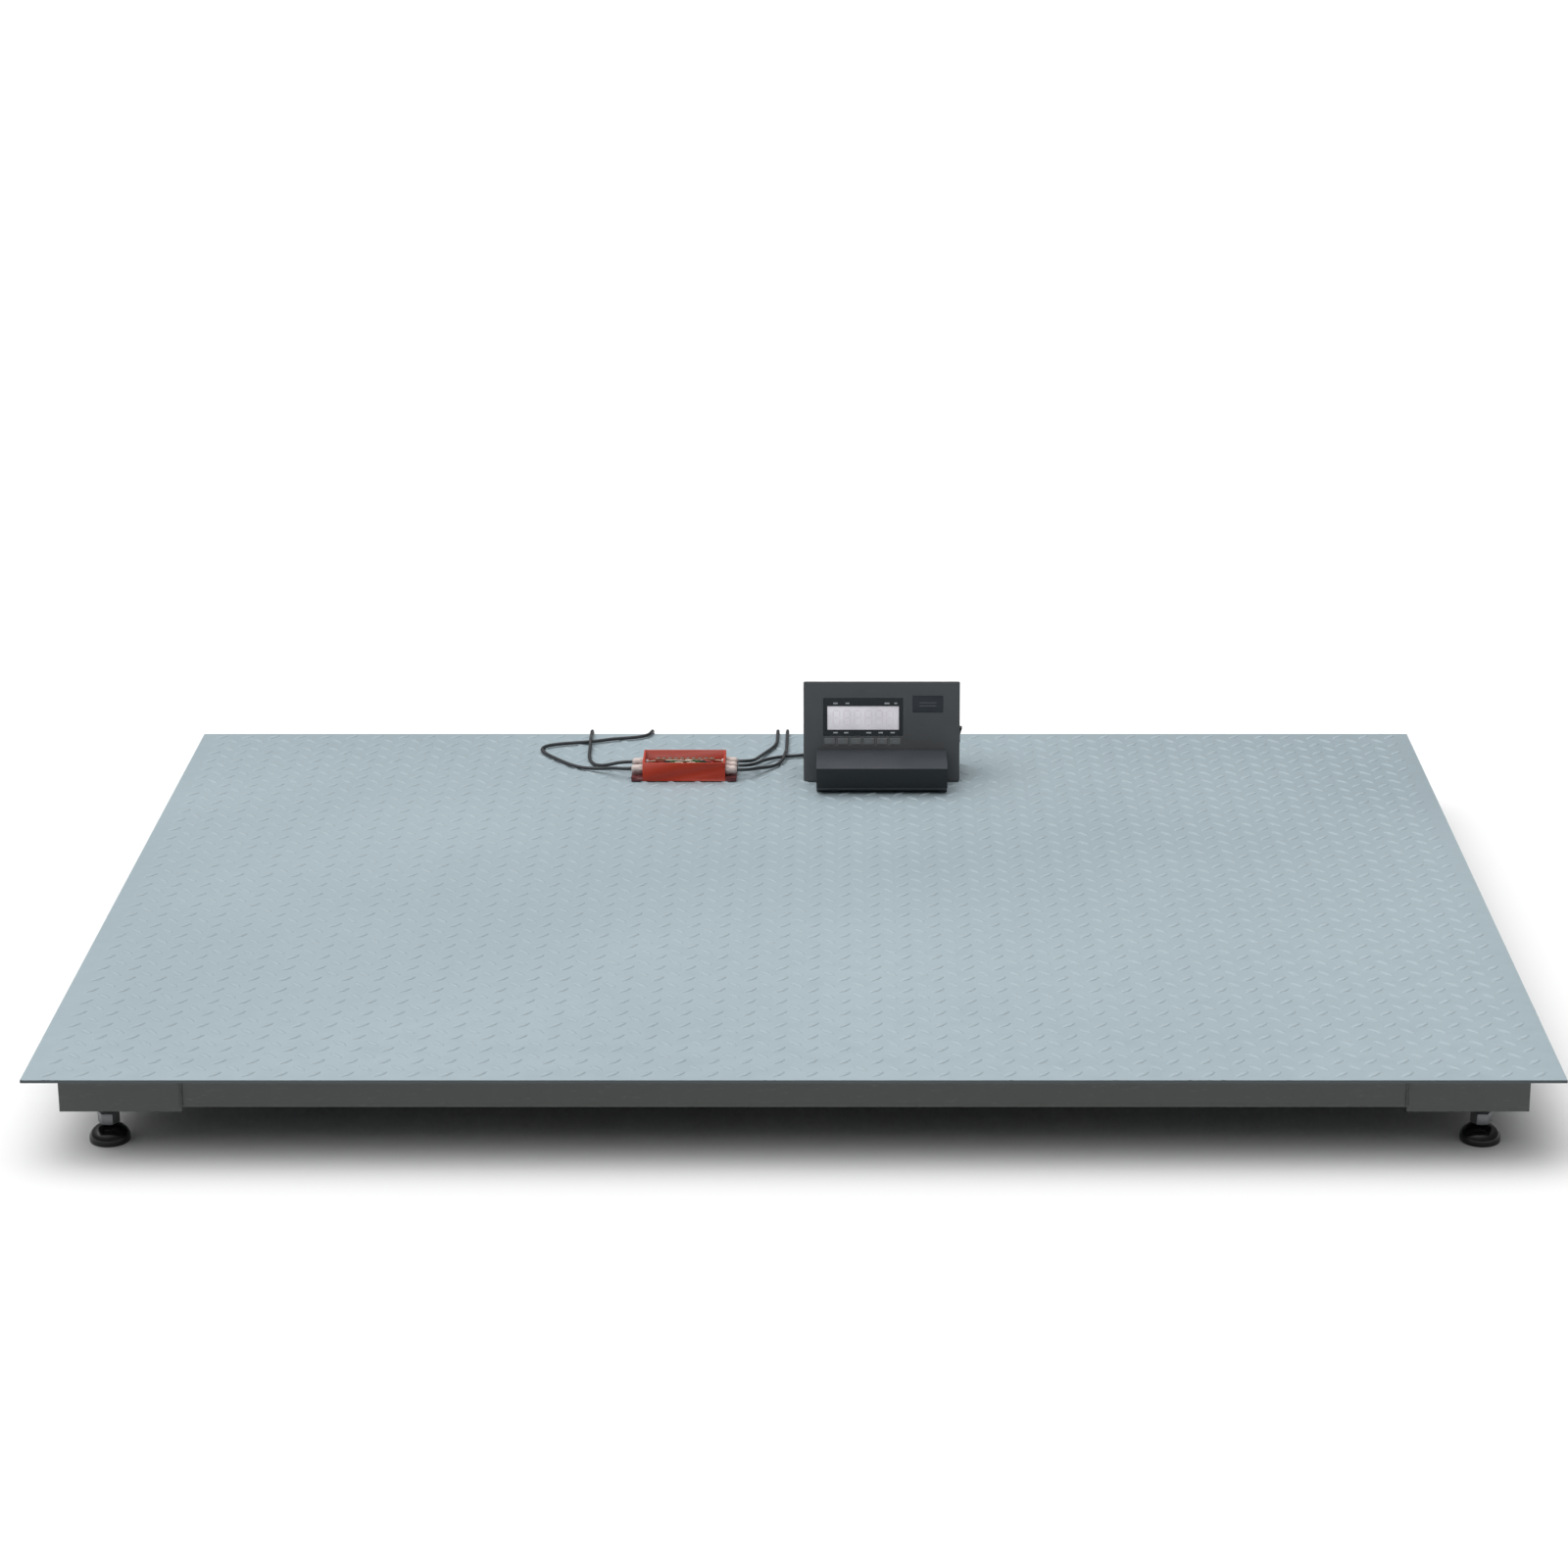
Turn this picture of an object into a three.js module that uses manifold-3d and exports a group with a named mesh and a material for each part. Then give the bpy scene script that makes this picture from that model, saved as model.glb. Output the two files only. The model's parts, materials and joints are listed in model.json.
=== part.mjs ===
// Animal weighing scale: a low steel platform on four load cells and four levelling feet. An indicator
// and an open junction box stand on its deck, and each load cell's cable runs to the box.
// Millimetres, +Z up. The origin is on the floor under the platform's centre, X along its long side.
// The indicator faces -Y, so +Y is the rear.

import * as THREE from 'three';
import { mergeVertices } from 'three/addons/utils/BufferGeometryUtils.js';
import Module from 'manifold-3d';

const wasm = await Module();
wasm.setup();

// Platform
const DECK_LENGTH = 2000; // X
const DECK_WIDTH = 1500; // Y
const DECK_TOP = 125; // above the floor, to the top of the lugs
const DECK_THICKNESS = 6;
const OVERHANG = 40; // the deck's reach past the frame
const FIT_GAP = 0.3; // between pieces that touch
const BEAM_HEIGHT = 50;
const BEAM_FLANGE = 37;
const BEAM_WALL = 4.5;
const RIB_PITCH = 400;
const RIBS = ['left', 'middle', 'right'];

// Corner housings, load cells and feet
const CORNER_LENGTH = 160; // X
const CORNER_WIDTH = 120; // Y
const CORNER_WALL = 5;
const CORNER_DROP = 6; // how far a corner reaches below the beams
const CELL_LENGTH = 116;
const CELL_SIDE = 32;
const CELL_PAD = 6.4; // the thick pad that the cell's fixed end is bolted to
const CELL_END = 35; // from the frame's end to the cell's free end
const CELL_EDGE = 18; // from the cell's free end to its foot
const BOLT_EDGE = 14; // from the cell's fixed end to the first bolt
const BOLT_PITCH = 25;
const BOLT_DIAMETER = 10;
const BOLT_HEAD = 6.4;
const BOLT_GRIP = 9; // the bolt's length in the pad
const GAUGE_POCKET = 22;
const GAUGE_DEPTH = 6;
const FOOT_INSET = 53; // from the frame's long face to the foot's axis
const FOOT_DIAMETER = 54;
const FOOT_HEIGHT = 24;
const BALL_DIAMETER = 18;
const BALL_CENTRE = 14; // above the floor
const NECK_DIAMETER = 11;
const HEX_FLATS = 25;
const HEX_BOTTOM = 26;
const HEX_HEIGHT = 16;
const STEM_DIAMETER = 18;
const STEM_TOP_GAP = 4; // from the stem's end to the cell's top

// Indicator
const INDICATOR_X = 124;
const INDICATOR_SETBACK = 259; // from the deck's rear edge to the foot of the main face
const CASE_WIDTH = 249;
const CASE_HEIGHT = 163;
const CASE_DEPTH = 94;
const CASE_WALL = 3;
const FACE_LEAN = THREE.MathUtils.degToRad(4);
const TOP_SLOPE = THREE.MathUtils.degToRad(20);
const SPLIT_DEPTH = 34; // from the main face to the joint between the two shells
const CHIN_WIDTH = 207;
const CHIN_DEPTH = 72;
const CHIN_FRONT = 44;
const CHIN_REAR = 52;
const CHIN_UNDERCUT = 8; // how far the front's lower edge lies behind its upper edge
const CHIN_SOLE = { height: 9, depth: 12 }; // the bevel under the front
const WINDOW = { x: -29.5, z: 105, width: 127, height: 62 };
const WINDOW_LEDGE = 2;
const WINDOW_INSET = 0.4; // the window's face below the case's face
const WINDOW_THICKNESS = 1.2;
const MODULE_DEPTH = 8;
const LABEL = { x: 73.5, z: 126, width: 49, height: 28, depth: 0.6 };
const BAND = { x: -30.5, z: 65.5, width: 125, height: 15, depth: 0.8 };
const KEY_COUNT = 6;
const KEY_WIDTH = 17;
const KEY_HEIGHT = 10.5;
const KEY_PROUD = 0.4; // above the case's face
const KEY_LENGTH = 14;
const KEY_FLANGE = 1.5;
const KEY_LIP = 1.2; // how far the flange stands out round a key
const BOARD_DEPTH = 17.5; // the main board's distance behind the face
const BOARD = { width: 210, height: 130, thickness: 1.6, z: 75 };
const BATTERY = { x: 60, z: 56, width: 70, depth: 44, height: 100 };
const DOOR = { x: 60, z: 58, width: 84, height: 100 };
const SWITCH_Y = 60;
const SWITCH_Z = 61;
const SWITCH_WIDTH = 12;
const SWITCH_HALF = 12; // half its height
const SWITCH_ROOM = 1.5; // above and below it, for its tilt
const SWITCH_BLOCK = 5; // half size of the rocker's inner block
const SWITCH_PROUD = 5;
const SWITCH_TILT = THREE.MathUtils.degToRad(7);
const PLUG_X = -80;
const PLUG_Z = 25;
const PLUG_LENGTH = 22;
const PLUG_HOLE = 10;

// Junction box
const BOX_X = -192;
const BOX_SETBACK = 223.5; // from the deck's rear edge to the box's middle
const BOX_LENGTH = 132;
const BOX_WIDTH = 71;
const BOX_HEIGHT = 30;
const BOX_WALL = 3;
const EAR_LENGTH = 18;
const EAR_HEIGHT = 6;
const EAR_SLOT = 5;
const TERMINAL_LENGTH = 100;
const TERMINAL_WIDTH = 12;
const TERMINAL_TOP = 27;
const TERMINAL_PITCH = 38; // between the two rows
const PCB_BOTTOM = 10;
const PCB_MARGIN = 4;
const GLAND_HEIGHT = 15; // of the gland's axis above the box's underside
const GLAND_REACH = 20;
const GLAND_THREAD = 8.4;
const GLAND_HEX = 15;
const GLAND_HEX_LENGTH = 6;
const GLAND_DOME = 13;
// Each gland's name, end of the box and place across it.
const GLANDS = [
  ['gland_rear_left', -1, 18.5],
  ['gland_front_left', -1, -16.5],
  ['gland_rear_right', 1, 22.5],
  ['gland_signal', 1, 0.5],
  ['gland_front_right', 1, -21.5],
];

// Cables
const CABLE_DIAMETER = 5.5;
const CABLE_SIDES = 8;
const CABLE_STEPS = 2; // steps between two points of a route
const CABLE_HOLE = 10;
const CABLE_HOLE_Z = 84.1;
const CABLE_HOLES_X = [-355, -255, -46, -30];

// Each cable's route from its gland: over the deck, round its rear edge, in through the rear beam and
// along the frame's channels to its load cell. The signal cable runs to the plug behind the indicator.
const ROUTES = {
  cell_cable_rear_left: [
    [-278.5, 545, 140.3], [-287, 545.2, 140.1], [-300, 547.5, 138], [-314, 552, 133.7],
    [-327, 559, 129.8], [-339, 570, 128.1], [-346.5, 587, 128.1], [-350.5, 610, 128.1],
    [-352, 640, 128.1], [-352.5, 665, 129.6], [-353, 690, 134.3], [-354, 715, 129.8],
    [-355, 749, 128.1], [-355, 761.9, 123.9], [-355, 769.9, 112.9], [-355, 769.9, 99.3],
    [-355, 761.9, 88.3], [-355, 749, 84.1], [-355, 706, 84.1], [-358, 695, 84.1], [-366, 687.2, 83],
    [-378, 684, 80.8], [-398, 684, 78.2], [-430, 684, 77.5], [-775, 684, 77.5], [-795, 686.5, 78],
    [-811, 691, 81.3], [-825, 693.9, 86.5], [-835, 693.2, 89.6], [-842, 688.6, 90.9],
    [-845.7, 681.5, 91], [-846, 673.7, 91],
  ],
  cell_cable_front_left: [
    [-278.5, 510, 140.3], [-287, 510.5, 140.1], [-298, 516, 138.7], [-309.5, 525.5, 136],
    [-327, 539, 131], [-353, 551, 128.1], [-371, 562, 128.1], [-392, 585, 128.1], [-426, 635, 128.1],
    [-430.5, 654, 128.1], [-423, 669, 128.1], [-402, 680, 128.1], [-354, 692, 128.1],
    [-316, 707, 128.1], [-276, 718, 128.1], [-261, 730, 128.1], [-255, 749, 128.1],
    [-255, 761.9, 123.9], [-255, 769.9, 112.9], [-255, 769.9, 99.3], [-255, 761.9, 88.3],
    [-255, 749, 84.1], [-255, 711, 84.1], [-257, 698, 83.7], [-267, 687, 81.8], [-296, 686.5, 78.5],
    [-346, 694.5, 77.5], [-905, 695.5, 77.5], [-931, 689.5, 77.5], [-942.5, 668, 77.5],
    [-944, 630, 77.5], [-944, -560, 77.5], [-943, -588, 78], [-935, -606, 80.8], [-915, -615, 85.3],
    [-867, -616, 91], [-858, -618.1, 91], [-852.1, -624, 91], [-850, -632, 91], [-850, -640.3, 91],
  ],
  cell_cable_rear_right: [
    [-105.5, 549, 140.3], [-98.5, 549.8, 140.1], [-89.5, 555, 138.8], [-82, 566, 136.6],
    [-77, 583, 133.8], [-72.5, 603, 130.9], [-66.5, 624, 128.7], [-58.5, 645, 128.1], [-51, 665, 128.1],
    [-47, 685, 128.1], [-46, 712, 128.1], [-46, 749, 128.1], [-46, 761.9, 123.9], [-46, 769.9, 112.9],
    [-46, 769.9, 99.3], [-46, 761.9, 88.3], [-46, 749, 84.1], [-46, 706, 83.8], [-43, 695, 82.5],
    [-35, 687, 80.5], [-23, 684, 78.6], [-3, 684, 77.5], [380, 684, 77.5], [775, 684, 77.5],
    [795, 686.5, 78], [811, 691, 81.3], [825, 693.9, 86.5], [835, 693.2, 89.6], [842, 688.6, 90.9],
    [845.7, 681.5, 91], [846, 673.7, 91],
  ],
  cell_cable_front_right: [
    [-105.5, 505, 140.3], [-98.5, 505.6, 140.1], [-89, 510, 138.9], [-80.5, 519.5, 136.9],
    [-72, 533, 133.9], [-55, 555, 128.9], [-43.5, 571, 128.1], [-35.5, 591, 129.6], [-31.5, 613, 134.3],
    [-30, 636, 129.4], [-30, 664, 128.1], [-30, 749, 128.1], [-30, 761.9, 123.9], [-30, 769.9, 112.9],
    [-30, 769.9, 99.3], [-30, 761.9, 88.3], [-30, 749, 84.1], [-30, 706, 84.1], [-27, 695, 84.3],
    [-19, 687, 84.3], [-7, 684, 84.3], [16, 686, 83.7], [44, 692.5, 81], [74, 697, 78],
    [110, 697, 77.5], [905, 696.5, 77.5], [931, 689.5, 77.5], [942.5, 668, 77.5], [944, 630, 77.5],
    [944, -560, 77.5], [943, -588, 78], [935, -606, 80.8], [915, -615, 85.3], [867, -616, 91],
    [858, -618.1, 91], [852.1, -624, 91], [850, -632, 91], [850, -640.3, 91],
  ],
  signal_cable: [
    [-105.5, 527, 140.3], [-98.5, 527.7, 140.1], [-89, 532.5, 139.2], [-80.5, 543, 137.5],
    [-74, 558, 135.2], [-67, 576, 132.4], [-58, 593, 129.7], [-46, 606, 128.2], [-31, 612.5, 128.1],
    [-15, 615.5, 128.1], [0, 620.5, 128.3], [13, 629, 130.4], [24, 637.5, 134.4], [33.5, 641, 139.9],
    [40.3, 638, 145.4], [43.7, 629.5, 149.1], [44, 618.5, 150.3], [44, 607.7, 150.3],
  ],
};

// Derived places
const BEAM_TOP = DECK_TOP - DECK_THICKNESS - FIT_GAP;
const BEAM_BOTTOM = BEAM_TOP - BEAM_HEIGHT;
const FRAME_LENGTH = DECK_LENGTH - 2 * OVERHANG;
const FRAME_WIDTH = DECK_WIDTH - 2 * OVERHANG;
const CORNER_BOTTOM = BEAM_BOTTOM - CORNER_DROP;
const CORNER_CEILING = BEAM_TOP - CORNER_WALL;
const CELL_TOP = CORNER_CEILING - CELL_PAD - FIT_GAP;
const CELL_BOTTOM = CELL_TOP - CELL_SIDE;
const CELL_FIXED_END = CELL_END + CELL_LENGTH;
const FOOT_X = CELL_END + CELL_EDGE;
const BOLTS_X = [CELL_FIXED_END - BOLT_EDGE - BOLT_PITCH, CELL_FIXED_END - BOLT_EDGE];
const DECK_SEAT = DECK_TOP + FIT_GAP;
const WINDOW_BACK = WINDOW_INSET + WINDOW_THICKNESS;

// ---- Shapes ----

function box(x, y, z) {
  const geometry = new THREE.BoxGeometry(x[1] - x[0], y[1] - y[0], z[1] - z[0]);
  return geometry.translate((x[0] + x[1]) / 2, (y[0] + y[1]) / 2, (z[0] + z[1]) / 2);
}

// A prism along an axis. The outline's points are Y Z along X, Z X along Y, and X Y along Z.
function prism(axis, outline, from, to) {
  const shape = new THREE.Shape(outline.map(([a, b]) => new THREE.Vector2(a, b)));
  const geometry = new THREE.ExtrudeGeometry(shape, { depth: to - from, bevelEnabled: false });
  geometry.translate(0, 0, from);
  const turns = { x: 1, y: 2, z: 0 }[axis];
  const cycle = new THREE.Matrix4().set(0, 0, 1, 0, 1, 0, 0, 0, 0, 1, 0, 0, 0, 0, 0, 1);
  for (let i = 0; i < turns; i++) geometry.applyMatrix4(cycle);
  return geometry;
}

// A cylinder along an axis, from one point on it to another.
function cylinder(axis, diameter, from, to, sides = 24) {
  const geometry = new THREE.CylinderGeometry(diameter / 2, diameter / 2, to - from, sides);
  geometry.translate(0, (from + to) / 2, 0);
  if (axis === 'z') geometry.rotateX(Math.PI / 2);
  if (axis === 'x') geometry.rotateZ(-Math.PI / 2);
  return geometry;
}

// A profile of radius and height turned round Z.
function turned(profile, sides = 24) {
  const points = profile.map(([r, z]) => new THREE.Vector2(r, z));
  return new THREE.LatheGeometry(points, sides).rotateX(Math.PI / 2);
}

// Points of an arc in a profile, by angle from the outward direction.
function arc(centreZ, radius, fromDeg, toDeg, steps) {
  return Array.from({ length: steps + 1 }, (_, i) => {
    const angle = THREE.MathUtils.degToRad(fromDeg + ((toDeg - fromDeg) * i) / steps);
    return [radius * Math.cos(angle), centreZ + radius * Math.sin(angle)];
  });
}

function solid(geometry) {
  const bare = geometry.index ? geometry.toNonIndexed() : geometry.clone();
  bare.deleteAttribute('normal');
  bare.deleteAttribute('uv');
  const merged = mergeVertices(bare, 1e-4);
  const vertProperties = merged.attributes.position.array;
  const triVerts = new Uint32Array(merged.index.array);
  return new wasm.Manifold(new wasm.Mesh({ numProp: 3, vertProperties, triVerts }));
}

// Joins the first list of geometries and cuts the second from them.
function shaped(joined, cuts = []) {
  let body = joined.map(solid).reduce((a, b) => a.add(b));
  for (const cut of cuts) body = body.subtract(solid(cut));
  const mesh = body.getMesh();
  const geometry = new THREE.BufferGeometry();
  geometry.setAttribute('position', new THREE.BufferAttribute(mesh.vertProperties, 3));
  geometry.setIndex(new THREE.BufferAttribute(mesh.triVerts, 1));
  geometry.computeVertexNormals();
  return geometry;
}

function piece(name, geometry, [color, roughness, metalness]) {
  const material = new THREE.MeshStandardMaterial({ color, roughness, metalness });
  const mesh = new THREE.Mesh(geometry, material);
  mesh.name = name;
  return mesh;
}

const deckPaint = [0xadbcc2, 0.5, 0.3];
const framePaint = [0x4c514f, 0.5, 0.3];
const cellSteel = [0xb4b6b8, 0.35, 0.9];
const zincSteel = [0x9a9c9e, 0.3, 0.95];
const footRubber = [0x2a2b2c, 0.45, 0.1];
const casePlastic = [0x4a4c4e, 0.55, 0];
const keyPlastic = [0x56595c, 0.6, 0];
const windowGlass = [0x14171a, 0.1, 0];
const displayPale = [0xcdcad0, 0.3, 0];
const boardGreen = [0x2d5a3a, 0.5, 0.1];
const batteryGrey = [0x30333a, 0.6, 0];
const switchBlack = [0x1c1d1f, 0.4, 0];
const boxOrange = [0x983723, 0.45, 0];
const glandPale = [0xb9a6a0, 0.5, 0];
const cableGrey = [0x2b2c2e, 0.6, 0];

// ---- Platform ----

// A channel beam along X with its web's outer face at y 0, and holes in the web where cables pass.
function channelBeam(length, holes = []) {
  const outline = [
    [0, 0], [BEAM_FLANGE, 0], [BEAM_FLANGE, BEAM_WALL], [BEAM_WALL, BEAM_WALL],
    [BEAM_WALL, BEAM_HEIGHT - BEAM_WALL], [BEAM_FLANGE, BEAM_HEIGHT - BEAM_WALL],
    [BEAM_FLANGE, BEAM_HEIGHT], [0, BEAM_HEIGHT],
  ];
  const cuts = holes.map((x) =>
    cylinder('y', CABLE_HOLE, -1, BEAM_WALL + 1, 12).translate(x, 0, CABLE_HOLE_Z - BEAM_BOTTOM));
  return shaped([prism('x', outline, -length / 2, length / 2)], cuts);
}

function beam(name, geometry, x, y, turn) {
  const mesh = piece(name, geometry, framePaint);
  mesh.position.set(x, y, BEAM_BOTTOM);
  mesh.rotation.z = turn;
  return mesh;
}

function platform() {
  const group = new THREE.Group();
  const long = FRAME_LENGTH - 2 * (CORNER_LENGTH + FIT_GAP);
  const short = FRAME_WIDTH - 2 * (CORNER_WIDTH + FIT_GAP);
  const rib = FRAME_WIDTH - 2 * (BEAM_FLANGE + FIT_GAP);
  const halfLength = FRAME_LENGTH / 2;
  const halfWidth = FRAME_WIDTH / 2;
  const deckX = [-DECK_LENGTH / 2, DECK_LENGTH / 2];
  const deckY = [-DECK_WIDTH / 2, DECK_WIDTH / 2];
  const deck = box(deckX, deckY, [DECK_TOP - DECK_THICKNESS, DECK_TOP]);
  group.add(piece('deck_plate', deck, deckPaint));
  group.add(beam('front_beam', channelBeam(long), 0, -halfWidth, 0));
  // The rear beam is turned half round, so its holes are given from its own left.
  const holes = CABLE_HOLES_X.map((x) => -x);
  group.add(beam('rear_beam', channelBeam(long, holes), 0, halfWidth, Math.PI));
  group.add(beam('left_beam', channelBeam(short), -halfLength, 0, -Math.PI / 2));
  group.add(beam('right_beam', channelBeam(short), halfLength, 0, Math.PI / 2));
  RIBS.forEach((side, i) => {
    const x = (i - (RIBS.length - 1) / 2) * RIB_PITCH;
    group.add(beam(`${side}_rib`, channelBeam(rib), x, 0, Math.PI / 2));
  });
  return group;
}

// ---- One corner, seen from its own outer corner: X and Y run inwards along the frame ----

function cornerHousing() {
  const shell = box([0, CORNER_LENGTH], [0, CORNER_WIDTH], [CORNER_BOTTOM, BEAM_TOP]);
  const inX = [CORNER_WALL, CORNER_LENGTH - CORNER_WALL];
  const inY = [CORNER_WALL, CORNER_WIDTH - CORNER_WALL];
  const hollow = box(inX, inY, [CORNER_BOTTOM - 1, CORNER_CEILING]);
  // The two inner walls are open where they meet the hollow of a beam.
  const mouth = [BEAM_WALL + 1.5, BEAM_FLANGE - 3];
  const mouthZ = [BEAM_BOTTOM + BEAM_WALL + 0.8, BEAM_TOP - BEAM_WALL - 1.2];
  const mouthX = box([inX[1] - 1, CORNER_LENGTH + 1], mouth, mouthZ);
  const mouthY = box(mouth, [inY[1] - 1, CORNER_WIDTH + 1], mouthZ);
  const padX = [BOLTS_X[0] - BOLT_EDGE + 1, inX[1] + 1];
  const padY = [FOOT_INSET - CELL_SIDE / 2 - 4, FOOT_INSET + CELL_SIDE / 2 + 4];
  const pad = box(padX, padY, [CORNER_CEILING - CELL_PAD, CORNER_CEILING + 1]);
  const threads = BOLTS_X.map((x) => {
    const thread = cylinder('z', BOLT_DIAMETER + 2 * FIT_GAP, CELL_TOP, CELL_TOP + BOLT_GRIP + 1, 12);
    return thread.translate(x, FOOT_INSET, 0);
  });
  const open = shaped([shell], [hollow, mouthX, mouthY]);
  return shaped([open, pad], threads);
}

// A square shear-beam cell: two bolt holes at its fixed end, a threaded hole for the foot at its free
// end, and a gauge pocket in each side.
function loadCell() {
  const side = [FOOT_INSET - CELL_SIDE / 2, FOOT_INSET + CELL_SIDE / 2];
  const bar = box([CELL_END, CELL_FIXED_END], side, [CELL_BOTTOM, CELL_TOP]);
  const hole = (x, diameter) =>
    cylinder('z', diameter, CELL_BOTTOM - 1, CELL_TOP + 1, 16).translate(x, FOOT_INSET, 0);
  const pocketX = (FOOT_X + BOLTS_X[0]) / 2;
  const pocketZ = (CELL_BOTTOM + CELL_TOP) / 2;
  const pockets = [[side[0] - 1, side[0] + GAUGE_DEPTH], [side[1] - GAUGE_DEPTH, side[1] + 1]];
  return shaped([bar], [
    hole(FOOT_X, STEM_DIAMETER + 2 * FIT_GAP),
    ...BOLTS_X.map((x) => hole(x, BOLT_DIAMETER + 1)),
    ...pockets.map(([a, b]) => cylinder('y', GAUGE_POCKET, a, b, 12).translate(pocketX, 0, pocketZ)),
  ]);
}

function cellBolt() {
  const headTop = CELL_BOTTOM - FIT_GAP;
  const head = cylinder('z', BOLT_DIAMETER * 1.8, headTop - BOLT_HEAD, headTop, 6);
  const shank = cylinder('z', BOLT_DIAMETER, headTop - 1, CELL_TOP + BOLT_GRIP, 12);
  return shaped([head, shank]);
}

// The foot's stem: a ball, a neck, a hexagon for the spanner and a threaded shank.
function footStem() {
  const neck = NECK_DIAMETER / 2;
  const radius = BALL_DIAMETER / 2;
  const neckDeg = THREE.MathUtils.radToDeg(Math.acos(neck / radius));
  const shank = STEM_DIAMETER / 2;
  const top = CELL_TOP - STEM_TOP_GAP;
  const hexTop = HEX_BOTTOM + HEX_HEIGHT;
  const profile = [
    [0, BALL_CENTRE - radius], ...arc(BALL_CENTRE, radius, -70, neckDeg, 5),
    [neck, HEX_BOTTOM + 1], [shank, hexTop - 1], [shank, top - 1.5], [shank - 1.5, top], [0, top],
  ];
  const hexRound = HEX_FLATS / Math.cos(Math.PI / 6);
  return shaped([turned(profile, 16), cylinder('z', hexRound, HEX_BOTTOM, hexTop, 6)]);
}

// The foot's base: a dome with a ball socket under its lip.
function footBase() {
  const socket = BALL_DIAMETER / 2 + FIT_GAP;
  const lip = THREE.MathUtils.radToDeg(Math.acos((NECK_DIAMETER / 2 + 1) / socket));
  const rim = FOOT_DIAMETER / 2;
  const profile = [
    [0, 0], [rim, 0], [rim, 6], [rim - 3.5, 12.5], [rim - 11, 20.5], [rim - 17, FOOT_HEIGHT],
    [NECK_DIAMETER / 2 + 3, FOOT_HEIGHT],
    ...arc(BALL_CENTRE, socket, lip, -70, 5), [0, BALL_CENTRE - socket],
  ];
  return turned(profile, 20);
}

function corner(name, sideX, sideY) {
  const group = new THREE.Group();
  group.position.set((sideX * FRAME_LENGTH) / 2, (sideY * FRAME_WIDTH) / 2, 0);
  group.scale.set(-sideX, -sideY, 1);
  group.add(piece(`corner_${name}`, cornerHousing(), framePaint));
  group.add(piece(`load_cell_${name}`, loadCell(), cellSteel));
  BOLTS_X.forEach((x, i) => {
    const bolt = piece(`cell_bolt_${name}_${i + 1}`, cellBolt(), zincSteel);
    bolt.position.set(x, FOOT_INSET, 0);
    group.add(bolt);
  });
  const stem = piece(`foot_stem_${name}`, footStem(), zincSteel);
  const base = piece(`foot_base_${name}`, footBase(), footRubber);
  for (const mesh of [stem, base]) mesh.position.set(FOOT_X, FOOT_INSET, 0);
  group.add(stem, base);
  return group;
}

// ---- Indicator, with its origin at the foot of its main face ----

const leanTan = Math.tan(FACE_LEAN);
const slopeTan = Math.tan(TOP_SLOPE);

// A point of the side outline, at a depth behind the leaning face.
function atDepth(depth, z) {
  return [depth + z * leanTan, z];
}

// The height of the sloping top at a depth behind the face.
function topAtDepth(depth) {
  return CASE_HEIGHT - (depth * slopeTan) / (1 + leanTan * slopeTan);
}

function frontOutline(wall, back) {
  return [
    atDepth(wall, wall), atDepth(back, wall),
    atDepth(back, topAtDepth(back) - wall), atDepth(wall, topAtDepth(wall) - wall),
  ];
}

function rearOutline(wall, front) {
  const back = CASE_DEPTH - wall;
  const rearTop = CASE_HEIGHT - (back - CASE_HEIGHT * leanTan) * slopeTan - wall;
  return [
    atDepth(front, wall), [back, wall], [back, rearTop], atDepth(front, topAtDepth(front) - wall),
  ];
}

// A box in the plane of the face: a place on it, a size, and from which depth to which.
function onFace({ x, z, width, height }, from, to) {
  const spanX = [x - width / 2, x + width / 2];
  const spanZ = [z - height / 2, z + height / 2];
  return box(spanX, [from, to], spanZ).rotateX(-FACE_LEAN);
}

function grown({ x, z, width, height }, by) {
  return { x, z, width: width + 2 * by, height: height + 2 * by };
}

function keyPlaces() {
  const pitch = BAND.width / KEY_COUNT;
  return Array.from({ length: KEY_COUNT }, (_, i) => (
    { x: BAND.x + (i - (KEY_COUNT - 1) / 2) * pitch, z: BAND.z, width: KEY_WIDTH, height: KEY_HEIGHT }
  ));
}

function frontCase() {
  const half = CASE_WIDTH / 2;
  const halfChin = CHIN_WIDTH / 2;
  const inner = half - CASE_WALL;
  const innerChin = halfChin - CASE_WALL;
  const body = prism('x', frontOutline(0, SPLIT_DEPTH), -half, half);
  const hollow = prism('x', frontOutline(CASE_WALL, SPLIT_DEPTH + 5), -inner, inner);
  const heel = CHIN_UNDERCUT - CHIN_DEPTH;
  const chinLine = [
    [heel + CHIN_SOLE.depth, 0], [1, 0], [1, CHIN_REAR], [-CHIN_DEPTH, CHIN_FRONT],
    [heel, CHIN_SOLE.height],
  ];
  const chin = prism('x', chinLine, -halfChin, halfChin);
  const chinInner = [
    [heel + CHIN_SOLE.depth + 1, CASE_WALL], [10, CASE_WALL], [10, CHIN_REAR - CASE_WALL],
    [-CHIN_DEPTH + CASE_WALL, CHIN_FRONT - CASE_WALL], [heel + CASE_WALL, CHIN_SOLE.height + 1],
  ];
  return shaped([body, chin], [
    hollow,
    prism('x', chinInner, -innerChin, innerChin),
    onFace(WINDOW, -1, WINDOW_BACK + FIT_GAP),
    onFace(grown(WINDOW, -WINDOW_LEDGE), -1, CASE_WALL + 3),
    onFace(BAND, -1, BAND.depth),
    onFace(LABEL, -1, LABEL.depth),
    ...keyPlaces().map((place) => onFace(grown(place, FIT_GAP), -1, CASE_WALL + 3)),
  ]);
}

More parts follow.
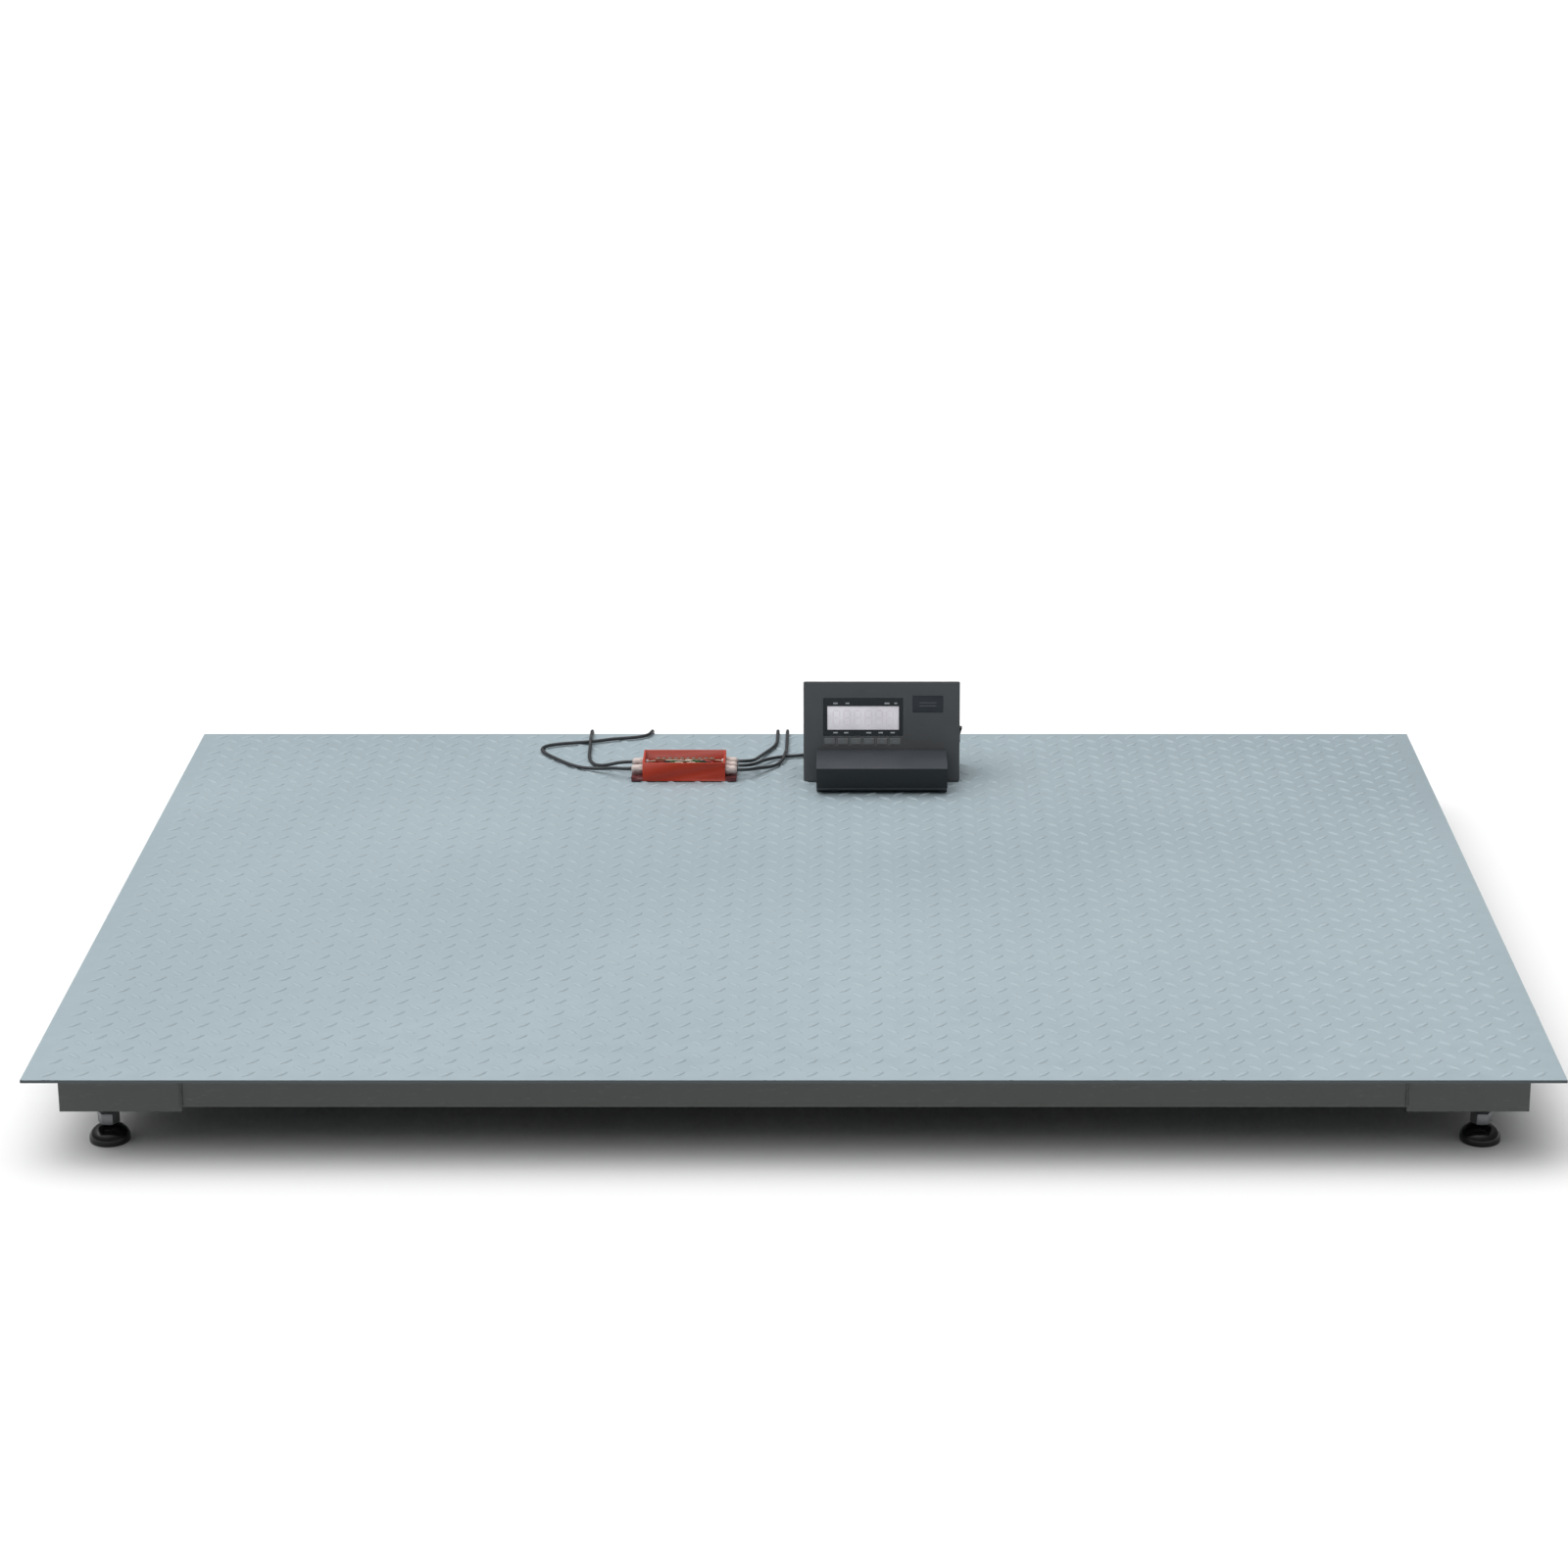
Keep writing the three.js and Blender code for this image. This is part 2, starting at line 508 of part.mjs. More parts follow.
function key(place) {
  const flange = CASE_WALL + FIT_GAP;
  return shaped([
    onFace(place, -KEY_PROUD, KEY_LENGTH - KEY_PROUD),
    onFace(grown(place, KEY_LIP), flange, flange + KEY_FLANGE),
  ]);
}

function rearCase() {
  const half = CASE_WIDTH / 2;
  const inner = half - CASE_WALL;
  const body = prism('x', rearOutline(0, SPLIT_DEPTH + FIT_GAP), -half, half);
  const hollow = prism('x', rearOutline(CASE_WALL, SPLIT_DEPTH - 5), -inner, inner);
  const rearWall = [CASE_DEPTH - CASE_WALL - 1, CASE_DEPTH + 1];
  const doorX = [DOOR.x - DOOR.width / 2, DOOR.x + DOOR.width / 2];
  const doorZ = [DOOR.z - DOOR.height / 2, DOOR.z + DOOR.height / 2];
  const switchY = [SWITCH_Y - SWITCH_WIDTH / 2 - FIT_GAP, SWITCH_Y + SWITCH_WIDTH / 2 + FIT_GAP];
  const halfOpening = SWITCH_HALF + SWITCH_ROOM;
  const switchZ = [SWITCH_Z - halfOpening, SWITCH_Z + halfOpening];
  return shaped([body], [
    hollow,
    box(doorX, rearWall, doorZ),
    box([inner - 1, half + 1], switchY, switchZ),
    cylinder('y', PLUG_HOLE, ...rearWall).translate(PLUG_X, 0, PLUG_Z),
  ]);
}

function batteryDoor() {
  const halfX = DOOR.width / 2 - FIT_GAP;
  const halfZ = DOOR.height / 2 - FIT_GAP;
  return box([DOOR.x - halfX, DOOR.x + halfX], [CASE_DEPTH - CASE_WALL, CASE_DEPTH],
    [DOOR.z - halfZ, DOOR.z + halfZ]);
}

// The rocker turns about Y on a pivot inside the case's side wall. It rests tilted to one stop.
function powerSwitch() {
  const pivot = CASE_WIDTH / 2 - CASE_WALL - 0.5;
  const reach = CASE_WALL + 0.5 + SWITCH_PROUD;
  const halfWidth = SWITCH_WIDTH / 2;
  const outline = [
    [-SWITCH_BLOCK, -SWITCH_BLOCK], [SWITCH_BLOCK, -SWITCH_BLOCK], [SWITCH_HALF, 2],
    [SWITCH_HALF, reach - 1], [0, reach - 3],
    [-SWITCH_HALF, reach - 1], [-SWITCH_HALF, 2],
  ];
  const rocker = prism('y', outline, -halfWidth, halfWidth).rotateY(SWITCH_TILT);
  return rocker.translate(pivot, SWITCH_Y, SWITCH_Z);
}

function signalPlug() {
  const wall = CASE_DEPTH + FIT_GAP;
  const tip = wall + PLUG_LENGTH;
  const plug = turned([
    [0, wall - 6], [4.6, wall - 6], [4.6, wall], [7, wall], [7, wall + 13], [4.5, wall + 16],
    [4.5, tip], [0, tip],
  ], 12);
  return plug.rotateX(-Math.PI / 2).translate(PLUG_X, 0, PLUG_Z);
}

function indicator() {
  const group = new THREE.Group();
  group.position.set(INDICATOR_X, DECK_WIDTH / 2 - INDICATOR_SETBACK, DECK_SEAT);
  const windowPane = onFace(grown(WINDOW, -FIT_GAP), WINDOW_INSET, WINDOW_BACK);
  const behindFace = CASE_WALL + FIT_GAP;
  const displayModule = onFace(WINDOW, behindFace, behindFace + MODULE_DEPTH);
  const board = onFace({ x: 0, ...BOARD }, BOARD_DEPTH, BOARD_DEPTH + BOARD.thickness);
  const batteryBack = CASE_DEPTH - CASE_WALL - 2;
  const batteryX = [BATTERY.x - BATTERY.width / 2, BATTERY.x + BATTERY.width / 2];
  const batteryZ = [BATTERY.z - BATTERY.height / 2, BATTERY.z + BATTERY.height / 2];
  const battery = box(batteryX, [batteryBack - BATTERY.depth, batteryBack], batteryZ);
  group.add(piece('indicator_front_case', frontCase(), casePlastic));
  group.add(piece('indicator_rear_case', rearCase(), casePlastic));
  group.add(piece('display_window', windowPane, windowGlass));
  group.add(piece('display_module', displayModule, displayPale));
  group.add(piece('main_board', board, boardGreen));
  group.add(piece('battery', battery, batteryGrey));
  group.add(piece('battery_door', batteryDoor(), casePlastic));
  group.add(piece('power_switch', powerSwitch(), switchBlack));
  group.add(piece('signal_plug', signalPlug(), switchBlack));
  keyPlaces().forEach((place, i) => group.add(piece(`key_${i + 1}`, key(place), keyPlastic)));
  return group;
}

// ---- Junction box, with its origin at the middle of its underside ----

function junctionBox() {
  const halfX = BOX_LENGTH / 2;
  const halfY = BOX_WIDTH / 2;
  const body = box([-halfX, halfX], [-halfY, halfY], [0, BOX_HEIGHT]);
  const ears = box([-halfX - EAR_LENGTH, halfX + EAR_LENGTH], [-halfY, halfY], [0, EAR_HEIGHT]);
  const inX = halfX - BOX_WALL;
  const inY = halfY - BOX_WALL;
  const hollow = box([-inX, inX], [-inY, inY], [BOX_WALL, BOX_HEIGHT + 1]);
  const earSlots = [-1, 1].flatMap((end) => [-1, 1].map((side) =>
    cylinder('z', EAR_SLOT, -1, EAR_HEIGHT + 1, 10)
      .translate(end * (halfX + EAR_LENGTH / 2), side * (halfY - EAR_LENGTH / 2), 0)));
  const holes = GLANDS.map(([, end, y]) =>
    cylinder('x', GLAND_THREAD + 2 * FIT_GAP, inX - 1, halfX + 1, 12)
      .translate(end < 0 ? -inX - halfX : 0, y, GLAND_HEIGHT));
  return shaped([body, ears], [hollow, ...earSlots, ...holes]);
}

function terminalBoard() {
  const halfX = BOX_LENGTH / 2 - BOX_WALL - PCB_MARGIN;
  const halfY = BOX_WIDTH / 2 - BOX_WALL - PCB_MARGIN;
  const halfRow = TERMINAL_LENGTH / 2;
  const board = box([-halfX, halfX], [-halfY, halfY], [PCB_BOTTOM, PCB_BOTTOM + 1.6]);
  const rows = [-1, 1].map((side) => {
    const y = (side * TERMINAL_PITCH) / 2;
    return box([-halfRow, halfRow], [y - TERMINAL_WIDTH / 2, y + TERMINAL_WIDTH / 2],
      [PCB_BOTTOM + 1, TERMINAL_TOP]);
  });
  const legs = [-1, 1].flatMap((end) => [-1, 1].map((side) =>
    cylinder('z', 6, BOX_WALL + FIT_GAP, PCB_BOTTOM + 1, 8)
      .translate(end * (halfX - 4), side * (halfY - 4), 0)));
  return shaped([board, ...rows, ...legs]);
}

// A cable gland along X: its thread in the box's wall, a hexagon outside it and a domed nut.
function gland() {
  const nut = GLAND_HEX_LENGTH + FIT_GAP;
  const dome = GLAND_DOME / 2;
  const profile = [
    [0, -BOX_WALL - 4], [GLAND_THREAD / 2, -BOX_WALL - 4], [GLAND_THREAD / 2, 2], [dome, 2],
    [dome, GLAND_REACH - 7], [dome - 1, GLAND_REACH - 3], [CABLE_DIAMETER / 2 + 1, GLAND_REACH],
    [0, GLAND_REACH],
  ];
  const hex = cylinder('z', GLAND_HEX, FIT_GAP, nut, 6);
  // The domed nut's rear end lies inside the hexagon, so the two join there.
  return shaped([turned(profile, 12), hex]).rotateY(Math.PI / 2);
}

function junction() {
  const group = new THREE.Group();
  group.position.set(BOX_X, DECK_WIDTH / 2 - BOX_SETBACK, DECK_SEAT);
  group.add(piece('junction_box', junctionBox(), boxOrange));
  group.add(piece('terminal_board', terminalBoard(), boardGreen));
  for (const [name, end, y] of GLANDS) {
    const mesh = piece(name, gland(), glandPale);
    mesh.position.set((end * BOX_LENGTH) / 2, y, GLAND_HEIGHT);
    if (end < 0) mesh.rotation.z = Math.PI;
    group.add(mesh);
  }
  return group;
}

// ---- Cables ----

// A smooth line through a route's points, with the same number of steps between each two.
class Route extends THREE.CatmullRomCurve3 {
  getUtoTmapping(u) {
    return u;
  }
}

function cable(points) {
  const section = new THREE.Shape(Array.from({ length: CABLE_SIDES }, (_, i) => {
    const angle = (2 * Math.PI * i) / CABLE_SIDES;
    return new THREE.Vector2(Math.cos(angle), Math.sin(angle)).multiplyScalar(CABLE_DIAMETER / 2);
  }));
  const extrudePath = new Route(points.map((point) => new THREE.Vector3(...point)));
  const steps = (points.length - 1) * CABLE_STEPS;
  return new THREE.ExtrudeGeometry(section, { steps, extrudePath, bevelEnabled: false });
}

// ---- The scale ----

const group = new THREE.Group();
group.add(platform());
group.add(corner('front_left', -1, -1), corner('front_right', 1, -1));
group.add(corner('rear_left', -1, 1), corner('rear_right', 1, 1));
group.add(indicator(), junction());
for (const [name, points] of Object.entries(ROUTES)) group.add(piece(name, cable(points), cableGrey));

export default group;
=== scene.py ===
# %% [markdown]
# # An animal weighing scale
# The scale is a low steel platform that an animal walks onto. Chequered plate lies on a channel frame,
# four load cells in the corners stand on levelling feet, and an indicator and an open junction box stand
# on the deck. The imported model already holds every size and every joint. This lesson gives each part its
# finish: rounded edges, lugs, threads, print and paint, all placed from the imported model's own boxes.

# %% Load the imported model
import json
import math

import bmesh
import bpy
from mathutils import Matrix, Vector


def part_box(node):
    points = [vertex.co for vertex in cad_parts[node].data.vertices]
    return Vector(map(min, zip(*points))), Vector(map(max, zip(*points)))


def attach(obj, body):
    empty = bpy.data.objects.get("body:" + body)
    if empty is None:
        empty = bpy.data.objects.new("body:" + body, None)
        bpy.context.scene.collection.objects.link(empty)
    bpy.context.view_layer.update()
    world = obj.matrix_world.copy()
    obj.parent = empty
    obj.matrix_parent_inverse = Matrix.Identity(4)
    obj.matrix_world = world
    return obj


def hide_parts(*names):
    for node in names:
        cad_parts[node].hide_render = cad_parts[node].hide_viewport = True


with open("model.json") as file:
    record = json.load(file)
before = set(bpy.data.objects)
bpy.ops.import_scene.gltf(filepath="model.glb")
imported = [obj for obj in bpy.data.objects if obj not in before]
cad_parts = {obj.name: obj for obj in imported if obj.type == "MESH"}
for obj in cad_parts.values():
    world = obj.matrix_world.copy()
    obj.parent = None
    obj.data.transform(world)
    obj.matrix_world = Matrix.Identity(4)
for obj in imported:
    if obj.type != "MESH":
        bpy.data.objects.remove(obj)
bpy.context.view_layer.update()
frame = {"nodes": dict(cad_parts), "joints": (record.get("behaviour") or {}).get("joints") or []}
MM = 0.001
CORNERS = ["front_left", "front_right", "rear_left", "rear_right"]

# %% [markdown]
# ## The camera
# A low platform is seen from standing height and a few metres off, so that the deck reads as a broad
# surface and the front edge still shows its height. The lens is long and looks down by 18 degrees. A small
# sideways shift keeps the upright edges upright while the scale sits left of the lens's axis.

# %% Camera
LOOK_DOWN = math.radians(18.1)
DECK_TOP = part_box("deck_plate")[1].z
EYE_HEIGHT = 1.902  # above the deck
EYE_DISTANCE = 5.342  # in front of the deck's middle
EYE_ASIDE = 0.0684


def placed(name, data):
    """A new object in the scene."""
    made = bpy.data.objects.new(name, data)
    bpy.context.collection.objects.link(made)
    return made


camera = placed("camera", bpy.data.cameras.new("camera"))
camera.data.lens = 88.1
camera.data.sensor_width = 36
camera.data.shift_x = -0.04
camera.location = (EYE_ASIDE, -EYE_DISTANCE, DECK_TOP + EYE_HEIGHT)
camera.rotation_euler = (math.pi / 2 - LOOK_DOWN, 0, 0)
bpy.context.scene.camera = camera
bpy.context.scene.view_settings.view_transform = "Standard"
print("lens", camera.data.lens, "mm, looking down", round(math.degrees(LOOK_DOWN), 1), "degrees")

# %% [markdown]
# ## Cables
# Each load cell's cable leaves the junction box through a gland, wanders over the deck, turns round the
# deck's rear edge and goes home inside the frame. A cable is a curve through given points. A
# Catmull-Rom line passes through every point, so the crossings stay where they were put, and its
# centripetal form never overshoots where a long stretch meets a short bend.

# %% A smooth line through given points
CABLE_DIAMETER = 5.5 * MM


def between(a, b, c, d, t):
    """The point a share t of the way from b to c, on the centripetal Catmull-Rom line."""
    ab, bc, cd = ((q - p).length**0.5 for p, q in ((a, b), (b, c), (c, d)))
    start = ((b - a) / ab - (c - a) / (ab + bc) + (c - b) / bc) * bc
    end = ((c - b) / bc - (d - b) / (bc + cd) + (d - c) / cd) * bc
    hermite = (2 * t**3 - 3 * t**2 + 1, t**3 - 2 * t**2 + t, 3 * t**2 - 2 * t**3, t**3 - t**2)
    return b * hermite[0] + start * hermite[1] + c * hermite[2] + end * hermite[3]


def smooth_line(points, steps):
    """The line through the points, with the same number of steps between each two."""
    ends = [2 * points[0] - points[1], *points, 2 * points[-1] - points[-2]]
    line = [
        between(*ends[i : i + 4], step / steps)
        for i in range(len(points) - 1)
        for step in range(steps)
    ]
    return line + [points[-1]]


print("a cable is", CABLE_DIAMETER / MM, "mm thick")

# %% Routes of the five cables
# Points in millimetres, from the gland to the load cell or the plug.
ROUTES = {
    "cell_cable_rear_left": [
        (-278.5, 545, 140.3), (-287, 545.2, 140.1), (-300, 547.5, 138), (-314, 552, 133.7),
        (-327, 559, 129.8), (-339, 570, 128.1), (-346.5, 587, 128.1), (-350.5, 610, 128.1),
        (-352, 640, 128.1), (-352.5, 665, 129.6), (-353, 690, 134.3), (-354, 715, 129.8),
        (-355, 749, 128.1), (-355, 761.9, 123.9), (-355, 769.9, 112.9), (-355, 769.9, 99.3),
        (-355, 761.9, 88.3), (-355, 749, 84.1), (-355, 706, 84.1), (-358, 695, 84.1), (-366, 687.2, 83),
        (-378, 684, 80.8), (-398, 684, 78.2), (-430, 684, 77.5), (-775, 684, 77.5), (-795, 686.5, 78),
        (-811, 691, 81.3), (-825, 693.9, 86.5), (-835, 693.2, 89.6), (-842, 688.6, 90.9),
        (-845.7, 681.5, 91), (-846, 673.7, 91),
    ],
    "cell_cable_front_left": [
        (-278.5, 510, 140.3), (-287, 510.5, 140.1), (-298, 516, 138.7), (-309.5, 525.5, 136),
        (-327, 539, 131), (-353, 551, 128.1), (-371, 562, 128.1), (-392, 585, 128.1),
        (-426, 635, 128.1), (-430.5, 654, 128.1), (-423, 669, 128.1), (-402, 680, 128.1),
        (-354, 692, 128.1), (-316, 707, 128.1), (-276, 718, 128.1), (-261, 730, 128.1),
        (-255, 749, 128.1), (-255, 761.9, 123.9), (-255, 769.9, 112.9), (-255, 769.9, 99.3),
        (-255, 761.9, 88.3), (-255, 749, 84.1), (-255, 711, 84.1), (-257, 698, 83.7), (-267, 687, 81.8),
        (-296, 686.5, 78.5), (-346, 694.5, 77.5), (-905, 695.5, 77.5), (-931, 689.5, 77.5),
        (-942.5, 668, 77.5), (-944, 630, 77.5), (-944, -560, 77.5), (-943, -588, 78),
        (-935, -606, 80.8), (-915, -615, 85.3), (-867, -616, 91), (-858, -618.1, 91),
        (-852.1, -624, 91), (-850, -632, 91), (-850, -640.3, 91),
    ],
    "cell_cable_rear_right": [
        (-105.5, 549, 140.3), (-98.5, 549.8, 140.1), (-89.5, 555, 138.8), (-82, 566, 136.6),
        (-77, 583, 133.8), (-72.5, 603, 130.9), (-66.5, 624, 128.7), (-58.5, 645, 128.1),
        (-51, 665, 128.1), (-47, 685, 128.1), (-46, 712, 128.1), (-46, 749, 128.1), (-46, 761.9, 123.9),
        (-46, 769.9, 112.9), (-46, 769.9, 99.3), (-46, 761.9, 88.3), (-46, 749, 84.1), (-46, 706, 83.8),
        (-43, 695, 82.5), (-35, 687, 80.5), (-23, 684, 78.6), (-3, 684, 77.5), (380, 684, 77.5),
        (775, 684, 77.5), (795, 686.5, 78), (811, 691, 81.3), (825, 693.9, 86.5), (835, 693.2, 89.6),
        (842, 688.6, 90.9), (845.7, 681.5, 91), (846, 673.7, 91),
    ],
    "cell_cable_front_right": [
        (-105.5, 505, 140.3), (-98.5, 505.6, 140.1), (-89, 510, 138.9), (-80.5, 519.5, 136.9),
        (-72, 533, 133.9), (-55, 555, 128.9), (-43.5, 571, 128.1), (-35.5, 591, 129.6),
        (-31.5, 613, 134.3), (-30, 636, 129.4), (-30, 664, 128.1), (-30, 749, 128.1),
        (-30, 761.9, 123.9), (-30, 769.9, 112.9), (-30, 769.9, 99.3), (-30, 761.9, 88.3),
        (-30, 749, 84.1), (-30, 706, 84.1), (-27, 695, 84.3), (-19, 687, 84.3), (-7, 684, 84.3),
        (16, 686, 83.7), (44, 692.5, 81), (74, 697, 78), (110, 697, 77.5), (905, 696.5, 77.5),
        (931, 689.5, 77.5), (942.5, 668, 77.5), (944, 630, 77.5), (944, -560, 77.5), (943, -588, 78),
        (935, -606, 80.8), (915, -615, 85.3), (867, -616, 91), (858, -618.1, 91), (852.1, -624, 91),
        (850, -632, 91), (850, -640.3, 91),
    ],
    "signal_cable": [
        (-105.5, 527, 140.3), (-98.5, 527.7, 140.1), (-89, 532.5, 139.2), (-80.5, 543, 137.5),
        (-74, 558, 135.2), (-67, 576, 132.4), (-58, 593, 129.7), (-46, 606, 128.2), (-31, 612.5, 128.1),
        (-15, 615.5, 128.1), (0, 620.5, 128.3), (13, 629, 130.4), (24, 637.5, 134.4),
        (33.5, 641, 139.9), (40.3, 638, 145.4), (43.7, 629.5, 149.1), (44, 618.5, 150.3),
        (44, 607.7, 150.3),
    ],
}

print(len(ROUTES), "routes with", sum(map(len, ROUTES.values())), "points")

# %% The five cables
def cable(name, points):
    """A cable as a curve of one open spline, and the line that it follows."""
    line = smooth_line([Vector(point) * MM for point in points], steps=8)
    curve = bpy.data.curves.new(name + "_sheath", "CURVE")
    curve.dimensions = "3D"
    curve.bevel_depth = 1  # times each point's radius, by which the curve's box also grows
    curve.bevel_resolution = 3
    curve.use_fill_caps = True
    spline = curve.splines.new("POLY")
    spline.points.add(len(line) - 1)
    for point, place in zip(spline.points, line):
        point.co = (*place, 1)
        point.radius = CABLE_DIAMETER / 2
    piece = placed(name + "_sheath", curve)
    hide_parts(name)
    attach(piece, "platform")
    return piece, line


cables = {name: cable(name, points) for name, points in ROUTES.items()}
print(len(cables), "cables")

# %% [markdown]
# ## Expressions that become nodes
# A finish is easier to read as arithmetic than as a page of links. One small class wraps a node's output
# and turns Python's operators into Math nodes. Every other node comes from one method: its type, its
# settings, then its inputs. The same two classes build the shader graphs and the Geometry Nodes trees.

# %% Node outputs as values
class Output:
    """A node's output. Arithmetic on it adds Math nodes."""

    def __init__(self, graph, socket):
        self.graph, self.socket = graph, socket

    def math(self, operation, *values):
        return self.graph.node("ShaderNodeMath", dict(enumerate(values)), operation=operation)

    def __add__(self, other):
        return self.math("ADD", self, other)

    def __sub__(self, other):
        return self.math("SUBTRACT", self, other)

    def __rsub__(self, other):
        return self.math("SUBTRACT", other, self)

    def __mul__(self, other):
        return self.math("MULTIPLY", self, other)

    def __truediv__(self, other):
        return self.math("DIVIDE", self, other)

    def __gt__(self, other):
        return self.math("GREATER_THAN", self, other)

    __radd__, __rmul__ = __add__, __mul__

    def size(self):
        return self.math("ABSOLUTE", self)

    def whole(self):
        return self.math("FLOOR", self)

    def ramp(self, low, high):
        """0 at low, 1 at high and straight between, held to 0 and 1 outside."""
        return self.graph.node("ShaderNodeMapRange", {0: self, 1: low, 2: high})


class Graph:
    """A node tree that hands out its outputs as values."""

    def __init__(self, tree):
        self.tree = tree

    def fill(self, socket, value):
        if isinstance(value, Output):
            self.tree.links.new(value.socket, socket)
        else:
            socket.default_value = value

    def __getitem__(self, label):
        """A value given to the tree by name."""
        return Output(self, self.given.outputs[label])

    def node(self, kind, inputs=None, out=0, **settings):
        """A new node, its settings and inputs filled, as the value of one of its outputs."""
        made = self.tree.nodes.new(kind)
        for key, value in settings.items():
            setattr(made, key, value)
        for key, value in (inputs or {}).items():
            self.fill(made.inputs[key], value)
        return Output(self, made.outputs[out])


print("values and graphs are ready")

# %% [markdown]
# ## Paint, plastic and metal
# All the patterns here read Object coordinates, so they stay fixed to the part, whatever joint moves it.
# Enamel on steel is never one flat colour: rollers leave broad clouds, dust settles between lugs, and
# boots rub the lugs' tops pale. Moulded plastic has a fine leather-like texture that only its bump shows.

# %% Colours
def srgb(red, green, blue):
    """A colour given as 0 to 255 on a screen, as the linear numbers that a shader takes."""
    shares = [channel / 255 for channel in (red, green, blue)]
    return (*[s / 12.92 if s <= 0.04045 else ((s + 0.055) / 1.055)**2.4 for s in shares], 1)


def shade(colour, share):
    """A colour made darker or lighter by a share."""
    return (*[channel * share for channel in colour[:3]], 1)


print("a screen's white is", srgb(255, 255, 255)[:3])

# %% A finish
class Finish(Graph):
    """A material with one principled shader, which starts from constants."""

    def __init__(self, name, colour, **constants):
        self.material = bpy.data.materials.new(name)
        self.material.use_nodes = True
        super().__init__(self.material.node_tree)
        self.shader = self.tree.nodes["Principled BSDF"]
        self.material.diffuse_color = colour
        self.place = self.node("ShaderNodeTexCoord", out="Object")
        self.set("Base Color", colour)
        for name, value in constants.items():
            self.set(name.replace("_", " "), value)

    def set(self, name, value):
        self.fill(self.shader.inputs[name], value)

    def noise(self, scale, detail=3, stretch=None):
        """Noise of about this many patches a metre, pulled out along an axis by a stretch."""
        place = self.place
        if stretch:
            place = self.node("ShaderNodeMapping", {"Vector": place, "Scale": stretch})
        return self.node("ShaderNodeTexNoise", {"Vector": place, "Scale": scale, "Detail": detail})

    def axis(self, name):
        return self.node("ShaderNodeSeparateXYZ", {0: self.place}, out=name)

    def mix(self, share, a, b):
        return self.node("ShaderNodeMix", {0: share, 6: a, 7: b}, out=2, data_type="RGBA")

    def bump(self, height, depth):
        inputs = {"Height": height, "Distance": depth, "Strength": 1.0}
        self.set("Normal", self.node("ShaderNodeBump", inputs))
        return self


print("a finish starts from constants")

# %% Plastic and metal
def plastic(name, colour, roughness=0.5, grain=1400, depth=0.05 * MM):
    """Moulded plastic: a fine spark-eroded texture, and faint handling marks in its gloss."""
    finish = Finish(name, colour)
    marks = finish.noise(35, 5)
    finish.set("Base Color", finish.mix(marks, shade(colour, 0.9), shade(colour, 1.12)))
    finish.set("Roughness", roughness - 0.1 + 0.2 * marks)
    return finish.bump(finish.noise(grain, 2), depth).material


def metal(name, colour, roughness, stretch=(1, 1, 12)):
    """Bright metal with fine lines left by machining, and a dull bloom in patches."""
    finish = Finish(name, colour, Metallic=0.95)
    lines = finish.noise(300, 3, stretch)
    bloom = finish.noise(40, 4)
    finish.set("Base Color", finish.mix(bloom.ramp(0.45, 0.75), colour, shade(colour, 0.72)))
    finish.set("Roughness", roughness + 0.12 * lines + 0.15 * bloom)
    return finish.bump(lines, 0.03 * MM).material


print("plastic has a grain, metal has lines")

# %% Enamels of the platform
PLATE_FLAT = DECK_TOP - 1.4 * MM
DECK_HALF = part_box("deck_plate")[1]


def deck_enamel():
    """Pale blue-grey enamel: rolled clouds, dust between lugs, rubbed lug tops, chips at the edges."""
    finish = Finish("deck_enamel", srgb(154, 169, 176))
    clouds = finish.noise(1.6, 4).ramp(0.3, 0.7)
    dust = finish.noise(24, 6).ramp(0.4, 0.75)
    specks = finish.noise(260, 2) > 0.76
    height = finish.axis("Z")
    top = height.ramp(PLATE_FLAT + 0.5 * MM, DECK_TOP - 0.1 * MM)
    low = 1 - height.ramp(PLATE_FLAT, PLATE_FLAT + 0.5 * MM)
    colour = finish.mix(clouds, srgb(150, 165, 172), srgb(158, 173, 179))
    colour = finish.mix(low * dust * 0.25, colour, srgb(136, 150, 156))
    colour = finish.mix(top * 0.14, colour, srgb(186, 198, 204))
    colour = finish.mix(specks * 0.2, colour, srgb(130, 142, 148))
    to_front = finish.axis("Y").size() - (DECK_HALF.y - 4 * MM)
    to_side = finish.axis("X").size() - (DECK_HALF.x - 4 * MM)
    edge = to_front.ramp(0, 4 * MM) + to_side.ramp(0, 4 * MM)
    chip = (edge * finish.noise(9, 2) * finish.noise(90, 5)).ramp(0.345, 0.36)
    finish.set("Base Color", finish.mix(chip, colour, srgb(70, 72, 73)))
    finish.set("Roughness", 0.45 + 0.2 * dust + 0.1 * clouds)
    return finish.bump(finish.noise(420, 3), 0.06 * MM).material


def frame_enamel(name, colour):
    """Dark satin enamel over rolled steel: orange peel, dust on it, and a few light scuffs."""
    finish = Finish(name, colour)
    clouds = finish.noise(5, 5).ramp(0.3, 0.7)
    scuffs = finish.noise(60, 6, (1, 1, 5)).ramp(0.62, 0.7)
    painted = finish.mix(clouds, colour, shade(colour, 1.25))
    finish.set("Base Color", finish.mix(scuffs * 0.25, painted, srgb(104, 108, 106)))
    finish.set("Roughness", 0.45 + 0.15 * clouds)
    return finish.bump(finish.noise(500, 3), 0.08 * MM).material


deck_paint = deck_enamel()
frame_paint = frame_enamel("frame_enamel", srgb(70, 74, 72))
edge_paint = frame_enamel("plate_edge_enamel", srgb(62, 70, 74))
print("enamels:", deck_paint.name, frame_paint.name, edge_paint.name)

# %% Plastics and metals
LCD_GLOW = 0.32


